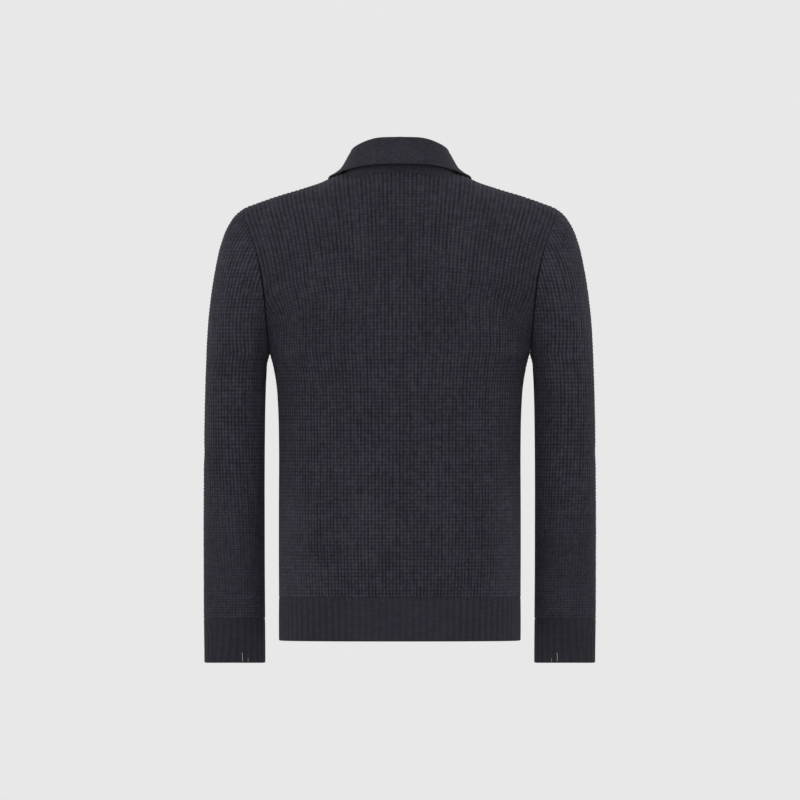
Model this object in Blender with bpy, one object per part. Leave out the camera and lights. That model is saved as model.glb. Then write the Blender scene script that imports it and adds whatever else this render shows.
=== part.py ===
"""A zip-up knitted sweater with a fold-down collar, hollow and filled out as it is when worn.

Metres, +Z up. The origin is the middle of the neck opening, level with the points where the
shoulders meet the neck. X runs across the wearer (+X is the wearer's left), the front faces -Y,
and the cloth hangs down along -Z. The cloth is a set of walls whose outer faces are worked out
from the garment's sections; each inner face is the outer one moved in by the wall's thickness.
"""

import math
from collections import namedtuple

import bmesh
import bpy
import numpy as np

# ---------------------------------------------------------------- driving dimensions
KNIT_WALL = 0.0030  # waffle-rib cloth of the body and the sleeves
RIB_WALL = 0.0020  # cloth of the hem and the cuffs, without their ribs
RIB_HEIGHT = 0.0011  # how far a rib stands out of that cloth
COLLAR_WALL = 0.0024
TAPE_WALL = 0.0010
SEAM_GAP = 0.0003
SHOULDER_GAP = 0.0007  # how far the front's edge is held back from the shoulder seam

UNDERARM_Z = -0.2491
BODY_BOTTOM_Z = -0.5983
HEM_BOTTOM_Z = -0.6617
FULLNESS = 2.5  # superellipse power of a horizontal section of the body
SHOULDER_DROP = 0.25  # height over which the shoulders round over into the back and chest
SHOULDER_ROUND = 2.2
SPREAD_PART = 0.4  # part of the way up the armhole over which the columns spread out evenly

NECK_HALF = 0.080  # half the width of the neck seam
NECK_STEPS = 6  # grid steps from the middle to the side of the neck
NECK_BACK_Z = 0.0137
NECK_SIDE_Z = 0.0145
NECK_FRONT_Z = -0.0650
TOP_ROOM = 0.002  # a column's last point below the neck seam lies this much lower
NECK_DIP = 0.0195  # how the plain band under the collar deepens away from the middle of the back

HEM_RIBS = 48  # ribs in half of the hem's round
CUFF_RIBS = 26
RIB_POINTS = 3  # grid steps to one rib
RIB_END = 0.0030  # height over which the ribs die out at the free edge

ZIP_HALF = 0.0045  # from the zip's middle to the edge of each front
CHAIN_HALF = 0.0026
CHAIN_SUNK = 0.0004  # the front and the back of the chain, behind the face of the fronts
CHAIN_DEEP = 0.0034
CHAIN_EASE = 0.0008  # the slope along the front edges of the chain
TAPE_HALF = 0.0130
ZIP_ROWS = 18
TAPE_SHORT = 0.0010  # the tapes stop this far short of the neck seam and of the hem's edge
SLIDER_Z = -0.0745  # the middle of the slider, at the top of the closed zip
SLIDER_HALF_WIDTH = 0.0040
SLIDER_HALF_LENGTH = 0.0050
SLIDER_PLATE = 0.0022
PLATE_BEVEL_HIGH = 0.0006  # the slope at the plate's upper and lower edges
PLATE_BEVEL_LONG = 0.0012
BRIDGE_HALF_WIDTH = 0.0008  # the arch on the slider that holds the pull tab
BRIDGE_HALF_LENGTH = 0.0042
BRIDGE_BAR = 0.0012
BRIDGE_ROOM = 0.0018  # clear height under the arch
HINGE_DROP = 0.0020  # the pull tab's crossbar below the middle of the slider
PULL_LENGTH = 0.0340
PULL_HALF_WIDTH = 0.0032
PULL_THICK = 0.0010
PULL_CORNER = 0.0008  # cut off the tab's upper corners
PULL_WAIST = 0.0006  # how far the tab narrows, and where
PULL_WAIST_DROP = 0.0120
PULL_FLARE = 0.0004  # how far it widens near its end, and where
PULL_END = 0.0030
PULL_END_CORNER = 0.0016
WINDOW_HALF_WIDTH = 0.0014  # the hole in the pull tab through which the arch passes
WINDOW_TOP = 0.0005  # below the hinge
WINDOW_BOTTOM = 0.0036
END_BOX_LENGTH = 0.0080
END_BOX_HALF = 0.0040
END_BOX_PROUD = 0.0008  # how far the end box stands out of the fronts' face

# A horizontal section of the body: half its width, and its reach behind and before the shoulders.
Section = namedtuple("Section", "z half_width back front")
BODY = [
    Section(-0.6700, 0.1738, 0.1075, 0.1035),
    Section(-0.6300, 0.1740, 0.1080, 0.1045),
    Section(-0.5983, 0.1738, 0.1110, 0.1085),
    Section(-0.5500, 0.1740, 0.1180, 0.1160),
    Section(-0.4700, 0.1740, 0.1205, 0.1215),
    Section(-0.3730, 0.1739, 0.1205, 0.1245),
    Section(-0.3267, 0.1750, 0.1205, 0.1260),
    Section(-0.2808, 0.1792, 0.1200, 0.1275),
    Section(-0.2491, 0.1870, 0.1200, 0.1290),
    Section(-0.2300, 0.1927, 0.1200, 0.1300),
    Section(-0.2000, 0.2060, 0.1200, 0.1305),
    Section(-0.1500, 0.2307, 0.1200, 0.1305),
    Section(-0.1000, 0.2577, 0.1200, 0.1300),
    Section(-0.0500, 0.2800, 0.1200, 0.1300),
    Section(0.0000, 0.2900, 0.1200, 0.1300),
    Section(0.0600, 0.2950, 0.1200, 0.1300),
]

# The shoulder line. Inside the neck it is only the line that the neck's slopes aim at.
Ridge = namedtuple("Ridge", "x back front seam_drop")
SHOULDER = [
    Ridge(0.0000, 0.0420, -0.0180, 0.0000),
    Ridge(0.0300, 0.0375, -0.0145, 0.0000),
    Ridge(0.0600, 0.0240, -0.0020, 0.0000),
    Ridge(0.0800, 0.0145, 0.0145, 0.0000),
    Ridge(0.0965, 0.0058, 0.0058, 0.0000),
    Ridge(0.1100, -0.0005, -0.0005, 0.0000),
    Ridge(0.1395, -0.0101, -0.0101, 0.0006),
    Ridge(0.1775, -0.0216, -0.0216, 0.0050),
    Ridge(0.2096, -0.0331, -0.0331, 0.0098),
    Ridge(0.2228, -0.0389, -0.0389, 0.0100),
    Ridge(0.2316, -0.0446, -0.0446, 0.0100),
    Ridge(0.2450, -0.0550, -0.0550, 0.0100),
]

# The armhole seam on the back and on the front.
Armhole = namedtuple("Armhole", "z back front")
ARMHOLE = [
    Armhole(-0.2491, 0.1870, 0.1870),
    Armhole(-0.2146, 0.1905, 0.1888),
    Armhole(-0.1714, 0.1944, 0.1905),
    Armhole(-0.1354, 0.1987, 0.1940),
    Armhole(-0.0994, 0.2074, 0.2030),
    Armhole(-0.0734, 0.2160, 0.2130),
    Armhole(-0.0504, 0.2245, 0.2240),
    Armhole(-0.0400, 0.2262, 0.2262),
]

# The outline of the sleeve's head, from the shoulder down to the underarm's level.
Head = namedtuple("Head", "z x")
SLEEVE_HEAD = [
    Head(-0.2620, 0.2790),
    Head(-0.2290, 0.2776),
    Head(-0.1944, 0.2752),
    Head(-0.1598, 0.2712),
    Head(-0.1253, 0.2656),
    Head(-0.0907, 0.2577),
    Head(-0.0677, 0.2490),
    Head(-0.0562, 0.2422),
    Head(-0.0504, 0.2377),
    Head(-0.0446, 0.2316),
    Head(-0.0412, 0.2266),
]

# A section of the hanging sleeve, square to the arm: where its middle is, and its half sizes.
Arm = namedtuple("Arm", "z inner outer half_depth middle_y")
SLEEVE = [
    Arm(-0.7000, 0.1942, 0.2822, 0.0280, -0.0800),
    Arm(-0.6800, 0.1942, 0.2822, 0.0282, -0.0742),
    Arm(-0.6200, 0.1945, 0.2829, 0.0320, -0.0560),
    Arm(-0.5600, 0.1948, 0.2829, 0.0400, -0.0380),
    Arm(-0.5000, 0.1948, 0.2829, 0.0470, -0.0225),
    Arm(-0.4400, 0.1948, 0.2825, 0.0530, -0.0105),
    Arm(-0.3730, 0.1944, 0.2818, 0.0590, -0.0030),
    Arm(-0.3150, 0.1935, 0.2806, 0.0630, 0.0000),
    Arm(-0.2810, 0.1922, 0.2797, 0.0650, 0.0000),
    Arm(-0.2620, 0.1908, 0.2790, 0.0660, 0.0000),
]
CUFF_TOP_Z = -0.6210
CUFF_BOTTOM_Z = -0.6858
SLEEVE_HEAD_ROWS = 9
SLEEVE_LEVELS = [-0.300, -0.350, -0.410, -0.470, -0.525, -0.575, CUFF_TOP_Z]
# A sleeve is one knitted tube, in four solids so that collision pieces can follow its curve: the
# first and the last grid row of each.
SLEEVE_PARTS = {"crown": (0, 4), "head": (4, 8), "upper": (8, 11), "lower": (11, 15)}
SLEEVE_BULGE = 0.006  # how far the sleeve's head stands out behind and before the seam

# The collar, by the angle round the neck from the middle of the back: the top of its fold and the
# free edge of its leaf.
Leaf = namedtuple("Leaf", "angle fold_x fold_y fold_z edge_x edge_y edge_z hollow")
COLLAR = [
    Leaf(0.0, 0.0000, 0.0600, 0.0640, 0.0000, 0.0740, 0.0242, 0.0000),
    Leaf(30.0, 0.0340, 0.0540, 0.0620, 0.0425, 0.0670, 0.0228, 0.0000),
    Leaf(60.0, 0.0610, 0.0300, 0.0530, 0.0800, 0.0400, 0.0165, 0.0015),
    Leaf(90.0, 0.0690, -0.0040, 0.0430, 0.1030, 0.0020, 0.0060, 0.0040),
    Leaf(120.0, 0.0570, -0.0390, 0.0240, 0.1050, -0.0480, -0.0080, 0.0030),
    Leaf(150.0, 0.0320, -0.0640, -0.0040, 0.0820, -0.0930, -0.0540, 0.0000),
    Leaf(177.0, 0.0052, -0.0735, -0.0270, 0.0460, -0.1110, -0.0930, 0.0000),
]
FOLD_RADIUS = 0.0034
LEAF_CLEAR = 0.0064  # from the middle of the leaf's wall to the body's face, at the least
STAND_STEPS = 2  # grid steps of the collar's stand, fold and leaf
FOLD_STEPS = 4
LEAF_STEPS = 4

# Grid columns across half of the body, and rows below and above the underarm.
SHOULDER_STEPS = 12
ROWS_BELOW = 6
ROWS_ABOVE = 12

Finish = namedtuple("Finish", "colour roughness metallic")
NAVY_KNIT = Finish((0.030, 0.028, 0.038, 1.0), 0.90, 0.0)
NAVY_TAPE = Finish((0.022, 0.021, 0.028, 1.0), 0.80, 0.0)
DARK_METAL = Finish((0.090, 0.090, 0.095, 1.0), 0.35, 1.0)


# ---------------------------------------------------------------- curves through the tables
def through(rows, key, value):
    """A smooth function of one column of a table that passes through every row."""
    xs = np.array([getattr(row, key) for row in rows])
    ys = np.array([getattr(row, value) for row in rows])
    order = np.argsort(xs)
    xs, ys = xs[order], ys[order]
    slopes = np.gradient(ys, xs)

    def at(x):
        x = np.clip(x, xs[0], xs[-1])
        i = np.clip(np.searchsorted(xs, x) - 1, 0, len(xs) - 2)
        span = xs[i + 1] - xs[i]
        u = (x - xs[i]) / span
        start = (1 + 2 * u) * (1 - u) ** 2 * ys[i] + u * (1 - u) ** 2 * span * slopes[i]
        end = u**2 * (3 - 2 * u) * ys[i + 1] + u**2 * (u - 1) * span * slopes[i + 1]
        return start + end

    return at


half_width = through(BODY, "z", "half_width")
reach = {1: through(BODY, "z", "back"), -1: through(BODY, "z", "front")}
ridge = {1: through(SHOULDER, "x", "back"), -1: through(SHOULDER, "x", "front")}
seam_drop = through(SHOULDER, "x", "seam_drop")
armhole_x = {1: through(ARMHOLE, "z", "back"), -1: through(ARMHOLE, "z", "front")}
head_x = through(SLEEVE_HEAD, "z", "x")
arm = {name: through(SLEEVE, "z", name) for name in Arm._fields[1:]}
leaf_row = {name: through(COLLAR, "angle", name) for name in Leaf._fields[1:]}


def resample(line, fractions):
    """Points at these fractions of a polyline's length."""
    line = np.asarray(line, float)
    steps = np.linalg.norm(np.diff(line, axis=0), axis=1)
    along = np.concatenate([[0.0], np.cumsum(steps)])
    at = np.asarray(fractions) * along[-1]
    return np.stack([np.interp(at, along, line[:, k]) for k in range(3)], axis=1)


def body_y(x, z, side):
    """The outer face of the body behind (side 1) or before (side -1) the shoulder line."""
    across = np.clip(1 - (np.abs(x) / half_width(z)) ** FULLNESS, 0, 1) ** (1 / FULLNESS)
    drop = np.clip((ridge[side](x) - z) / SHOULDER_DROP, 0, 1)
    over = (1 - (1 - drop) ** SHOULDER_ROUND) ** (1 / SHOULDER_ROUND)
    return side * reach[side](z) * across * over


def neck_z(x, side):
    """The height of the neck seam."""
    u = np.clip(x / NECK_HALF, 0, 1)
    if side > 0:
        rise = NECK_SIDE_Z - NECK_BACK_Z + NECK_DIP
        return NECK_BACK_Z - NECK_DIP * u**2 + rise * u**8
    return NECK_SIDE_Z + (NECK_FRONT_Z - NECK_SIDE_Z) * (1 - u**2) ** 0.75


def neck_point(angle):
    """The neck seam at an angle in degrees from the middle of the back."""
    side = 1 if angle <= 90 else -1
    x = NECK_HALF * math.sin(math.radians(angle))
    z = float(neck_z(x, side))
    return np.array([x, float(body_y(x, z, side)), z])


# ---------------------------------------------------------------- the body's columns
def section(z, side, count=241):
    """Half of a horizontal section below the underarm, from its middle to its side."""
    turn = np.linspace(0, math.pi / 2, count)
    power = 2 / FULLNESS
    x = half_width(z) * np.sin(turn) ** power
    y = side * reach[side](z) * np.cos(turn) ** power
    return np.stack([x, y, np.full(count, z)], axis=1)


def edge_by_height(side):
    """The armhole's x by height, as a fraction of the way from the underarm to the shoulder."""
    z = np.linspace(ARMHOLE[0].z, ARMHOLE[-1].z, 200)
    x = armhole_x[side](z)
    part = (z - UNDERARM_Z) / (ridge[side](x) - UNDERARM_Z)
    return lambda w: np.interp(w, part, x)


def column(s, side, inset, over_ridge):
    """A column of the body's knit from hem to shoulder or neck: below and above the underarm.

    s is 0 at the middle and 1 at the side and the armhole. inset is the x of the middle edge.
    """
    arc = resample(section(UNDERARM_Z, side), [s])[0][0] / half_width(UNDERARM_Z)
    below = []
    for z in np.linspace(BODY_BOTTOM_Z, UNDERARM_Z, 40):
        at = resample(section(z, side), [s])[0]
        at[0] = inset + (1 - inset / half_width(z)) * at[0]
        below.append(at)
    below = np.array(below)

    w = np.sin(np.linspace(0, math.pi / 2, 220)) ** (2 / SHOULDER_ROUND)
    u = np.clip(w / SPREAD_PART, 0, 1)
    blend = u * u * (3 - 2 * u)
    edge = edge_by_height(side)(w)
    x = inset + (edge - inset) * (arc * (1 - blend) + s * blend)
    z = UNDERARM_Z + w * (ridge[side](x) - UNDERARM_Z)
    above = np.stack([x, body_y(x, z, side), z], axis=1)
    above[0] = below[-1]
    in_neck = x[-1] < NECK_HALF
    if in_neck:
        limit = neck_z(x, side)
    else:
        limit = ridge[side](x) - (seam_drop(x) if side > 0 else 0)
    inside = np.argmax(z >= limit - 1e-9) if np.any(z >= limit - 1e-9) else len(z) - 1
    room = limit - z
    part = room[inside - 1] / (room[inside - 1] - room[inside])
    end_x = x[inside - 1] + part * (x[inside] - x[inside - 1])
    if in_neck:
        end_z = neck_z(end_x, side)
    else:
        end_z = ridge[side](end_x) - (seam_drop(end_x) if side > 0 else 0)
    end = np.array([end_x, body_y(end_x, end_z, side), end_z])
    above = np.concatenate([above[:inside], [end]])
    if not in_neck and over_ridge:
        drops = seam_drop(x[-1]) * np.linspace(0.02, 1, 12) ** 2
        crown = ridge[1](edge[-1])
        far = x[-1] * armhole_x[1](crown - drops) / armhole_x[1](crown)
        level = ridge[1](far) - drops
        beyond = np.stack([far, body_y(far, level, 1), level], axis=1)
        above = np.concatenate([above, beyond])
    return below, above


def panel_grid(side, columns, inset, over_ridge):
    """The outer points of half a panel: rows from hem to top, columns from the middle outward."""
    rows_below = np.linspace(0, 1, ROWS_BELOW + 1)
    rows_above = np.linspace(0, 1, ROWS_ABOVE + 1)[1:]
    grid = []
    for i, s in enumerate(columns):
        below, above = column(s, side, inset, over_ridge)
        if len(columns) > 1 and i <= NECK_STEPS:
            turn = 90.0 * i / NECK_STEPS
            top = neck_point(turn if side > 0 else 180.0 - turn)
            if i == 0:
                top[0] = inset
            above = np.concatenate([above[above[:, 2] < top[2] - TOP_ROOM], [top]])
        line = [resample(below, rows_below), resample(above, rows_above)]
        grid.append(np.concatenate(line))
    return np.stack(grid, axis=1)


def body_columns():
    """Fractions across half of the body; the first of them end at the neck."""
    neck = [NECK_HALF / ARMHOLE[-1].back * math.sin(math.pi / 2 * i / NECK_STEPS)
            for i in range(NECK_STEPS + 1)]
    rest = np.linspace(neck[-1], 1, SHOULDER_STEPS + 1)[1:]
    return np.concatenate([neck, rest])


# ---------------------------------------------------------------- walls
def grid_normals(grid, closed):
    """Unit normals of a grid of points, carried on evenly at its edges."""
    around = np.concatenate([grid[:, -1:], grid, grid[:, :1]], axis=1) if closed else grid
    cells = np.cross(around[1:, 1:] - around[:-1, :-1], around[1:, :-1] - around[:-1, 1:])
    cells /= np.linalg.norm(cells, axis=2, keepdims=True)
    cells = np.concatenate([2 * cells[:1] - cells[1:2], cells, 2 * cells[-1:] - cells[-2:-1]])
    if not closed:
        first = 2 * cells[:, :1] - cells[:, 1:2]
        last = 2 * cells[:, -1:] - cells[:, -2:-1]
        cells = np.concatenate([first, cells, last], axis=1)
    normal = cells[1:, 1:] + cells[1:, :-1] + cells[:-1, 1:] + cells[:-1, :-1]
    return normal / np.linalg.norm(normal, axis=2, keepdims=True)


def pull_in(grid, rows=(0, 0), columns=(0, 0)):
    """The grid with these edges (first, last) moved into it by that distance."""
    grid = grid.copy()
    for axis, pair in ((0, rows), (1, columns)):
        view = np.moveaxis(grid, axis, 0)
        for here, near, distance in ((0, 1, pair[0]), (-1, -2, pair[1])):
            way = view[near] - view[here]
            length = np.linalg.norm(way, axis=1, keepdims=True)
            view[here] += way / np.maximum(length, 1e-9) * distance
    return grid


def two_triangles(points, a, b, c, d):
    """A four-sided face, split along its shorter diagonal."""
    if np.linalg.norm(points[a] - points[c]) <= np.linalg.norm(points[b] - points[d]):
        return [(a, b, c), (a, c, d)]
    return [(a, b, d), (b, c, d)]


def wall(name, outer, inner, finish, closed=False):
    """One closed solid between two grids of the same size."""
    rows, columns = outer.shape[:2]
    points = np.concatenate([outer.reshape(-1, 3), inner.reshape(-1, 3)])
    half = rows * columns
    faces = []
    last = columns if closed else columns - 1
    for r in range(rows - 1):
        for c in range(last):
            d = (c + 1) % columns
            a, b = r * columns + c, r * columns + d
            e, f = a + columns, b + columns
            faces.extend(two_triangles(points, a, b, f, e))
            faces.extend(two_triangles(points, half + a, half + e, half + f, half + b))
    for r in (0, rows - 1):
        for c in range(last):
            d = (c + 1) % columns
            a, b = r * columns + c, r * columns + d
            faces.append((a, b, half + b, half + a))
    if not closed:
        for c in (0, columns - 1):
            for r in range(rows - 1):
                a, b = r * columns + c, (r + 1) * columns + c
                faces.append((a, b, half + b, half + a))
    return solid(name, points, faces, finish)


def solid(name, points, faces, finish, sharp=40.0):
    """An object from points and faces, its faces turned outward."""
    mesh = bpy.data.meshes.new(name)
    mesh.from_pydata([tuple(map(float, p)) for p in points], [], faces)
    work = bmesh.new()
    work.from_mesh(mesh)
    bmesh.ops.recalc_face_normals(work, faces=work.faces)
    if work.calc_volume(signed=True) < 0:
        bmesh.ops.reverse_faces(work, faces=work.faces)
    work.to_mesh(mesh)
    work.free()
    mesh.shade_smooth()
    mesh.set_sharp_from_angle(angle=math.radians(sharp))
    mesh.materials.append(material(name, finish))
    obj = bpy.data.objects.new(name, mesh)
    bpy.context.scene.collection.objects.link(obj)
    return obj


def material(name, finish):
    made = bpy.data.materials.new(name + "_finish")
    made.use_nodes = True
    shader = made.node_tree.nodes["Principled BSDF"]
    shader.inputs["Base Color"].default_value = finish.colour
    shader.inputs["Roughness"].default_value = finish.roughness
    shader.inputs["Metallic"].default_value = finish.metallic
    return made


def mirrored(grid):
    return grid * np.array([-1.0, 1.0, 1.0])


# ---------------------------------------------------------------- the body
def make_back():
    half = panel_grid(1, body_columns(), 0.0, False)
    outer = np.concatenate([mirrored(half)[:, :0:-1], half], axis=1)
    outer = pull_in(outer, (0, SEAM_GAP), (SEAM_GAP / 2, SEAM_GAP / 2))
    inner = outer - grid_normals(outer, False) * KNIT_WALL * outward(outer)
    wall("back_panel", outer, inner, NAVY_KNIT)


def outward(grid):
    """1 or -1, so that the grid's normals times it point out of the garment at +-Y."""
    row, col = 1, grid.shape[1] // 2
    return 1.0 if grid_normals(grid, False)[row, col, 1] * grid[row, col, 1] > 0 else -1.0


def make_fronts():
    half = panel_grid(-1, body_columns(), ZIP_HALF, True)
    outer = pull_in(half, (0, SHOULDER_GAP), (0, SEAM_GAP / 2))
    inner = outer - grid_normals(outer, False) * KNIT_WALL * outward(outer)
    inner[:, 0, 0] = ZIP_HALF
    wall("front_left", outer, inner, NAVY_KNIT)
    wall("front_right", mirrored(outer), mirrored(inner), NAVY_KNIT)


# ---------------------------------------------------------------- hem
def hem_grid(side, inset):
    """Half of the hem's outer and inner points, its ribs raised on the outer ones."""
    steps = HEM_RIBS // 2 * RIB_POINTS
    part = np.linspace(0, 1, steps + 1)
    rows = []
    for z in (BODY_BOTTOM_Z - SEAM_GAP, HEM_BOTTOM_Z + RIB_END, HEM_BOTTOM_Z):
        row = resample(section(z, side), part)
        row[:, 0] = inset + (1 - inset / half_width(z)) * row[:, 0]
        rows.append(row)
    face = np.stack(rows)
    normal = grid_normals(face, False)
    normal *= 1.0 if normal[0, 0, 1] * side > 0 else -1.0
    raised = np.where(np.arange(steps + 1) % RIB_POINTS == 0, 0.0, 1.0)[None, :, None]
    lift = np.full((len(rows), 1, 1), RIB_HEIGHT)
    lift[-1] = 0.0
    outer = face - normal * RIB_HEIGHT + normal * raised * lift
    inner = face - normal * (RIB_HEIGHT + RIB_WALL)
    return outer, inner


def make_hem():
    outer, inner = hem_grid(1, 0.0)
    outer = np.concatenate([mirrored(outer)[:, :0:-1], outer], axis=1)
    inner = np.concatenate([mirrored(inner)[:, :0:-1], inner], axis=1)
    gap = (SEAM_GAP / 2, SEAM_GAP / 2)
    wall("hem_back", pull_in(outer, columns=gap), pull_in(inner, columns=gap), NAVY_KNIT)
    outer, inner = hem_grid(-1, ZIP_HALF)
    gap = (0, SEAM_GAP / 2)
    outer, inner = pull_in(outer, columns=gap), pull_in(inner, columns=gap)
    wall("hem_front_left", outer, inner, NAVY_KNIT)
    wall("hem_front_right", mirrored(outer), mirrored(inner), NAVY_KNIT)


# ---------------------------------------------------------------- sleeves and cuffs
def arm_ring(z, turn):
    """A section of the hanging sleeve; turn 0 is its outer line and 90 degrees its back."""
    step = 0.01
    rise = float(arm["middle_y"](z + step) - arm["middle_y"](z - step))
    lean = math.atan2(rise, 2 * step)
    half = (arm["outer"](z) - arm["inner"](z)) / 2
    middle = (arm["outer"](z) + arm["inner"](z)) / 2
    depth = arm["half_depth"](z)
    x = middle + half * np.cos(turn)
    y = arm["middle_y"](z) + depth * np.sin(turn) * math.cos(lean)
    return np.stack([x, y, z - depth * np.sin(turn) * math.sin(lean)], axis=1)


def armhole_ring():
    """The armhole seam, through the edges of the back and the front, and its turns."""
    back = panel_grid(1, [1.0], 0.0, False)[ROWS_BELOW:, 0]
    front = panel_grid(-1, [1.0], ZIP_HALF, True)[ROWS_BELOW:, 0]
    ring = np.concatenate([back[::-1], front[1:-1]])
    top = ring[:, 2].max()
    middle, half = (top + UNDERARM_Z) / 2, (top - UNDERARM_Z) / 2
    turn = np.arccos(np.clip((ring[:, 2] - middle) / half, -1, 1))
    turn[ring[:, 1] < -1e-6] *= -1
    turn[turn < turn[0] - 1e-6] += 2 * math.pi
    return ring, turn


def head_rings(first, turn):
    """Sections of the sleeve's head, from the armhole seam to the level of the underarm."""
    heights = np.linspace(SLEEVE_HEAD[-1].z, SLEEVE_HEAD[0].z, 200)
    outline = np.stack([head_x(heights), np.zeros(200), heights], axis=1)
    outer_line = resample(outline, np.linspace(0, 1, SLEEVE_HEAD_ROWS))
    low = np.array([ARMHOLE[0].back, 0.0, UNDERARM_Z])
    end = np.array([SLEEVE[-1].inner, 0.0, SLEEVE[-1].z])
    depth = np.abs(first[:, 1]).max()
    even = turn[0] + 2 * math.pi * np.arange(len(turn)) / len(turn)
    rings = []
    for k, part in enumerate(np.linspace(0, 1, SLEEVE_HEAD_ROWS)):
        far, near = outer_line[k], low + (end - low) * part
        middle, half = (far + near) / 2, (far - near) / 2
        deep = depth + (SLEEVE[-1].half_depth - depth) * part
        deep += SLEEVE_BULGE * math.sin(math.pi * part)
        at = turn + (even - turn) * part
        ring = middle + np.outer(np.cos(at), half)
        ring[:, 1] = deep * np.sin(at)
        if k == 0:
            off = first - ring
        rings.append(ring + off * (1 - part) ** 2)
    return rings, even


def make_sleeves():
    rings, turn = head_rings(*armhole_ring())
    rings += [arm_ring(z, turn) for z in SLEEVE_LEVELS]
    outer = pull_in(np.stack(rings), (SEAM_GAP, 0))
    outer[0, :, 0] += SEAM_GAP
    normal = grid_normals(outer, True)
    facing = 1.0 if normal[-1, 0, 0] > 0 else -1.0
    inner = outer - normal * KNIT_WALL * facing
    for name, (first, last) in SLEEVE_PARTS.items():
        rows = slice(first, last + 1)
        gaps = (SEAM_GAP / 2 if first else 0, SEAM_GAP / 2 if last + 1 < len(outer) else 0)
        part = pull_in(outer[rows], gaps), pull_in(inner[rows], gaps)
        wall(f"sleeve_left_{name}", *part, NAVY_KNIT, closed=True)
        wall(f"sleeve_right_{name}", *map(mirrored, part), NAVY_KNIT, closed=True)


def make_cuffs():
    steps = CUFF_RIBS * RIB_POINTS
    turn = np.linspace(0, 2 * math.pi, steps, endpoint=False)
    levels = (CUFF_TOP_Z - SEAM_GAP, CUFF_BOTTOM_Z + RIB_END, CUFF_BOTTOM_Z)
    face = np.stack([arm_ring(z, turn) for z in levels])
    normal = grid_normals(face, True)
    normal *= 1.0 if normal[0, 0, 0] > 0 else -1.0
    raised = np.where(np.arange(steps) % RIB_POINTS == 0, 0.0, 1.0)[None, :, None]
    lift = np.full((len(levels), 1, 1), RIB_HEIGHT)
    lift[-1] = 0.0
    outer = face - normal * RIB_HEIGHT + normal * raised * lift
    inner = face - normal * (RIB_HEIGHT + RIB_WALL)
    wall("cuff_left", outer, inner, NAVY_KNIT, closed=True)
    wall("cuff_right", mirrored(outer), mirrored(inner), NAVY_KNIT, closed=True)


# ---------------------------------------------------------------- collar
def body_z(x, y):
    """The height of the body's outer face over a point of the plan."""
    side = 1 if y >= 0 else -1
    z = np.linspace(float(ridge[side](x)), UNDERARM_Z, 400)
    return float(np.interp(abs(y), np.abs(body_y(x, z, side)), z))


def off_body(point, clear):
    """The point, moved straight out of the body's face where it lies closer than clear."""
    x, y, z = point
    step = 0.001
    slope_x = (body_z(x + step, y) - body_z(x - step, y)) / (2 * step)
    slope_y = (body_z(x, y + step) - body_z(x, y - step)) / (2 * step)
    out = np.array([-slope_x, -slope_y, 1.0])
    steep = np.linalg.norm(out)
    distance = (z - body_z(x, y)) / steep
    return np.array(point) + out / steep * max(0.0, clear - distance)


def collar_path(angle):
    """The collar's cross-section at an angle round the neck: root, stand, fold, leaf, free edge."""
    at = {name: float(curve(angle)) for name, curve in leaf_row.items()}
    fold = np.array([at["fold_x"], at["fold_y"], at["fold_z"]])
    edge = np.array([at["edge_x"], at["edge_y"], at["edge_z"]])
    up = np.array([0.0, 0.0, 1.0])
    before, after = max(angle - 2, 0), angle + 2
    out = np.array([leaf_row["fold_y"](before) - leaf_row["fold_y"](after),
                    leaf_row["fold_x"](after) - leaf_row["fold_x"](before), 0.0])
    out /= np.linalg.norm(out)
    root = neck_point(angle) - out * COLLAR_WALL / 2 + up * SEAM_GAP
    centre = fold - up * (FOLD_RADIUS + COLLAR_WALL / 2)
    inside, outside = centre - out * FOLD_RADIUS, centre + out * FOLD_RADIUS
    path = [root + (inside - root) * t for t in np.arange(STAND_STEPS) / STAND_STEPS]
    for turn in np.linspace(0, math.pi, FOLD_STEPS + 1):
        path.append(centre + FOLD_RADIUS * (up * math.sin(turn) - out * math.cos(turn)))
    for t in np.arange(1, LEAF_STEPS + 1) / LEAF_STEPS:
        pull = 4 * at["hollow"] * t**2 * (1 - t)
        leaf = outside + (edge - outside) * t - out * pull
        path.append(off_body(leaf, LEAF_CLEAR))
    return np.array(path)


def make_collar():
    turns = [90.0 * i / NECK_STEPS for i in range(2 * NECK_STEPS)] + [COLLAR[-1].angle]
    half = np.stack([collar_path(angle) for angle in turns], axis=1)
    middle = np.concatenate([mirrored(half)[:, :0:-1], half], axis=1)
    normal = grid_normals(middle, False) * COLLAR_WALL / 2
    wall("collar", middle + normal, middle - normal, NAVY_KNIT)


# ---------------------------------------------------------------- zip
def front_line(z):
    """The outer face of the fronts at the zip."""
    return np.array([0.0, float(body_y(ZIP_HALF, z, -1)), z])


def zip_frames(top, bottom, rows):
    """Places down the zip, each with the direction out of the cloth."""
    frames = []
    step = 0.002
    for z in np.linspace(top, bottom, rows):
        way = front_line(z + step) - front_line(z - step)
        out = np.array([0.0, -way[2], way[1]])
        frames.append((front_line(z), out / np.linalg.norm(out)))
    return frames


def swept(name, frames, profile, finish):
    """A bar down the zip; its profile gives x and the depth behind the cloth's outer face."""
    points = [place + np.array([x, 0, 0]) - out * deep
              for place, out in frames for x, deep in profile]
    n = len(profile)
    faces = [tuple(range(n)), tuple(range(len(points) - n, len(points)))]
    for r in range(len(frames) - 1):
        for c in range(n):
            d = (c + 1) % n
            faces.append((r * n + c, r * n + d, (r + 1) * n + d, (r + 1) * n + c))
    return solid(name, points, faces, finish)


def slider_frame():
    """The slider's middle on the cloth, the direction out of the cloth and the one up it."""
    place, out = zip_frames(SLIDER_Z, SLIDER_Z, 1)[0]
    return place, out, np.array([0.0, out[2], -out[1]])


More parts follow.
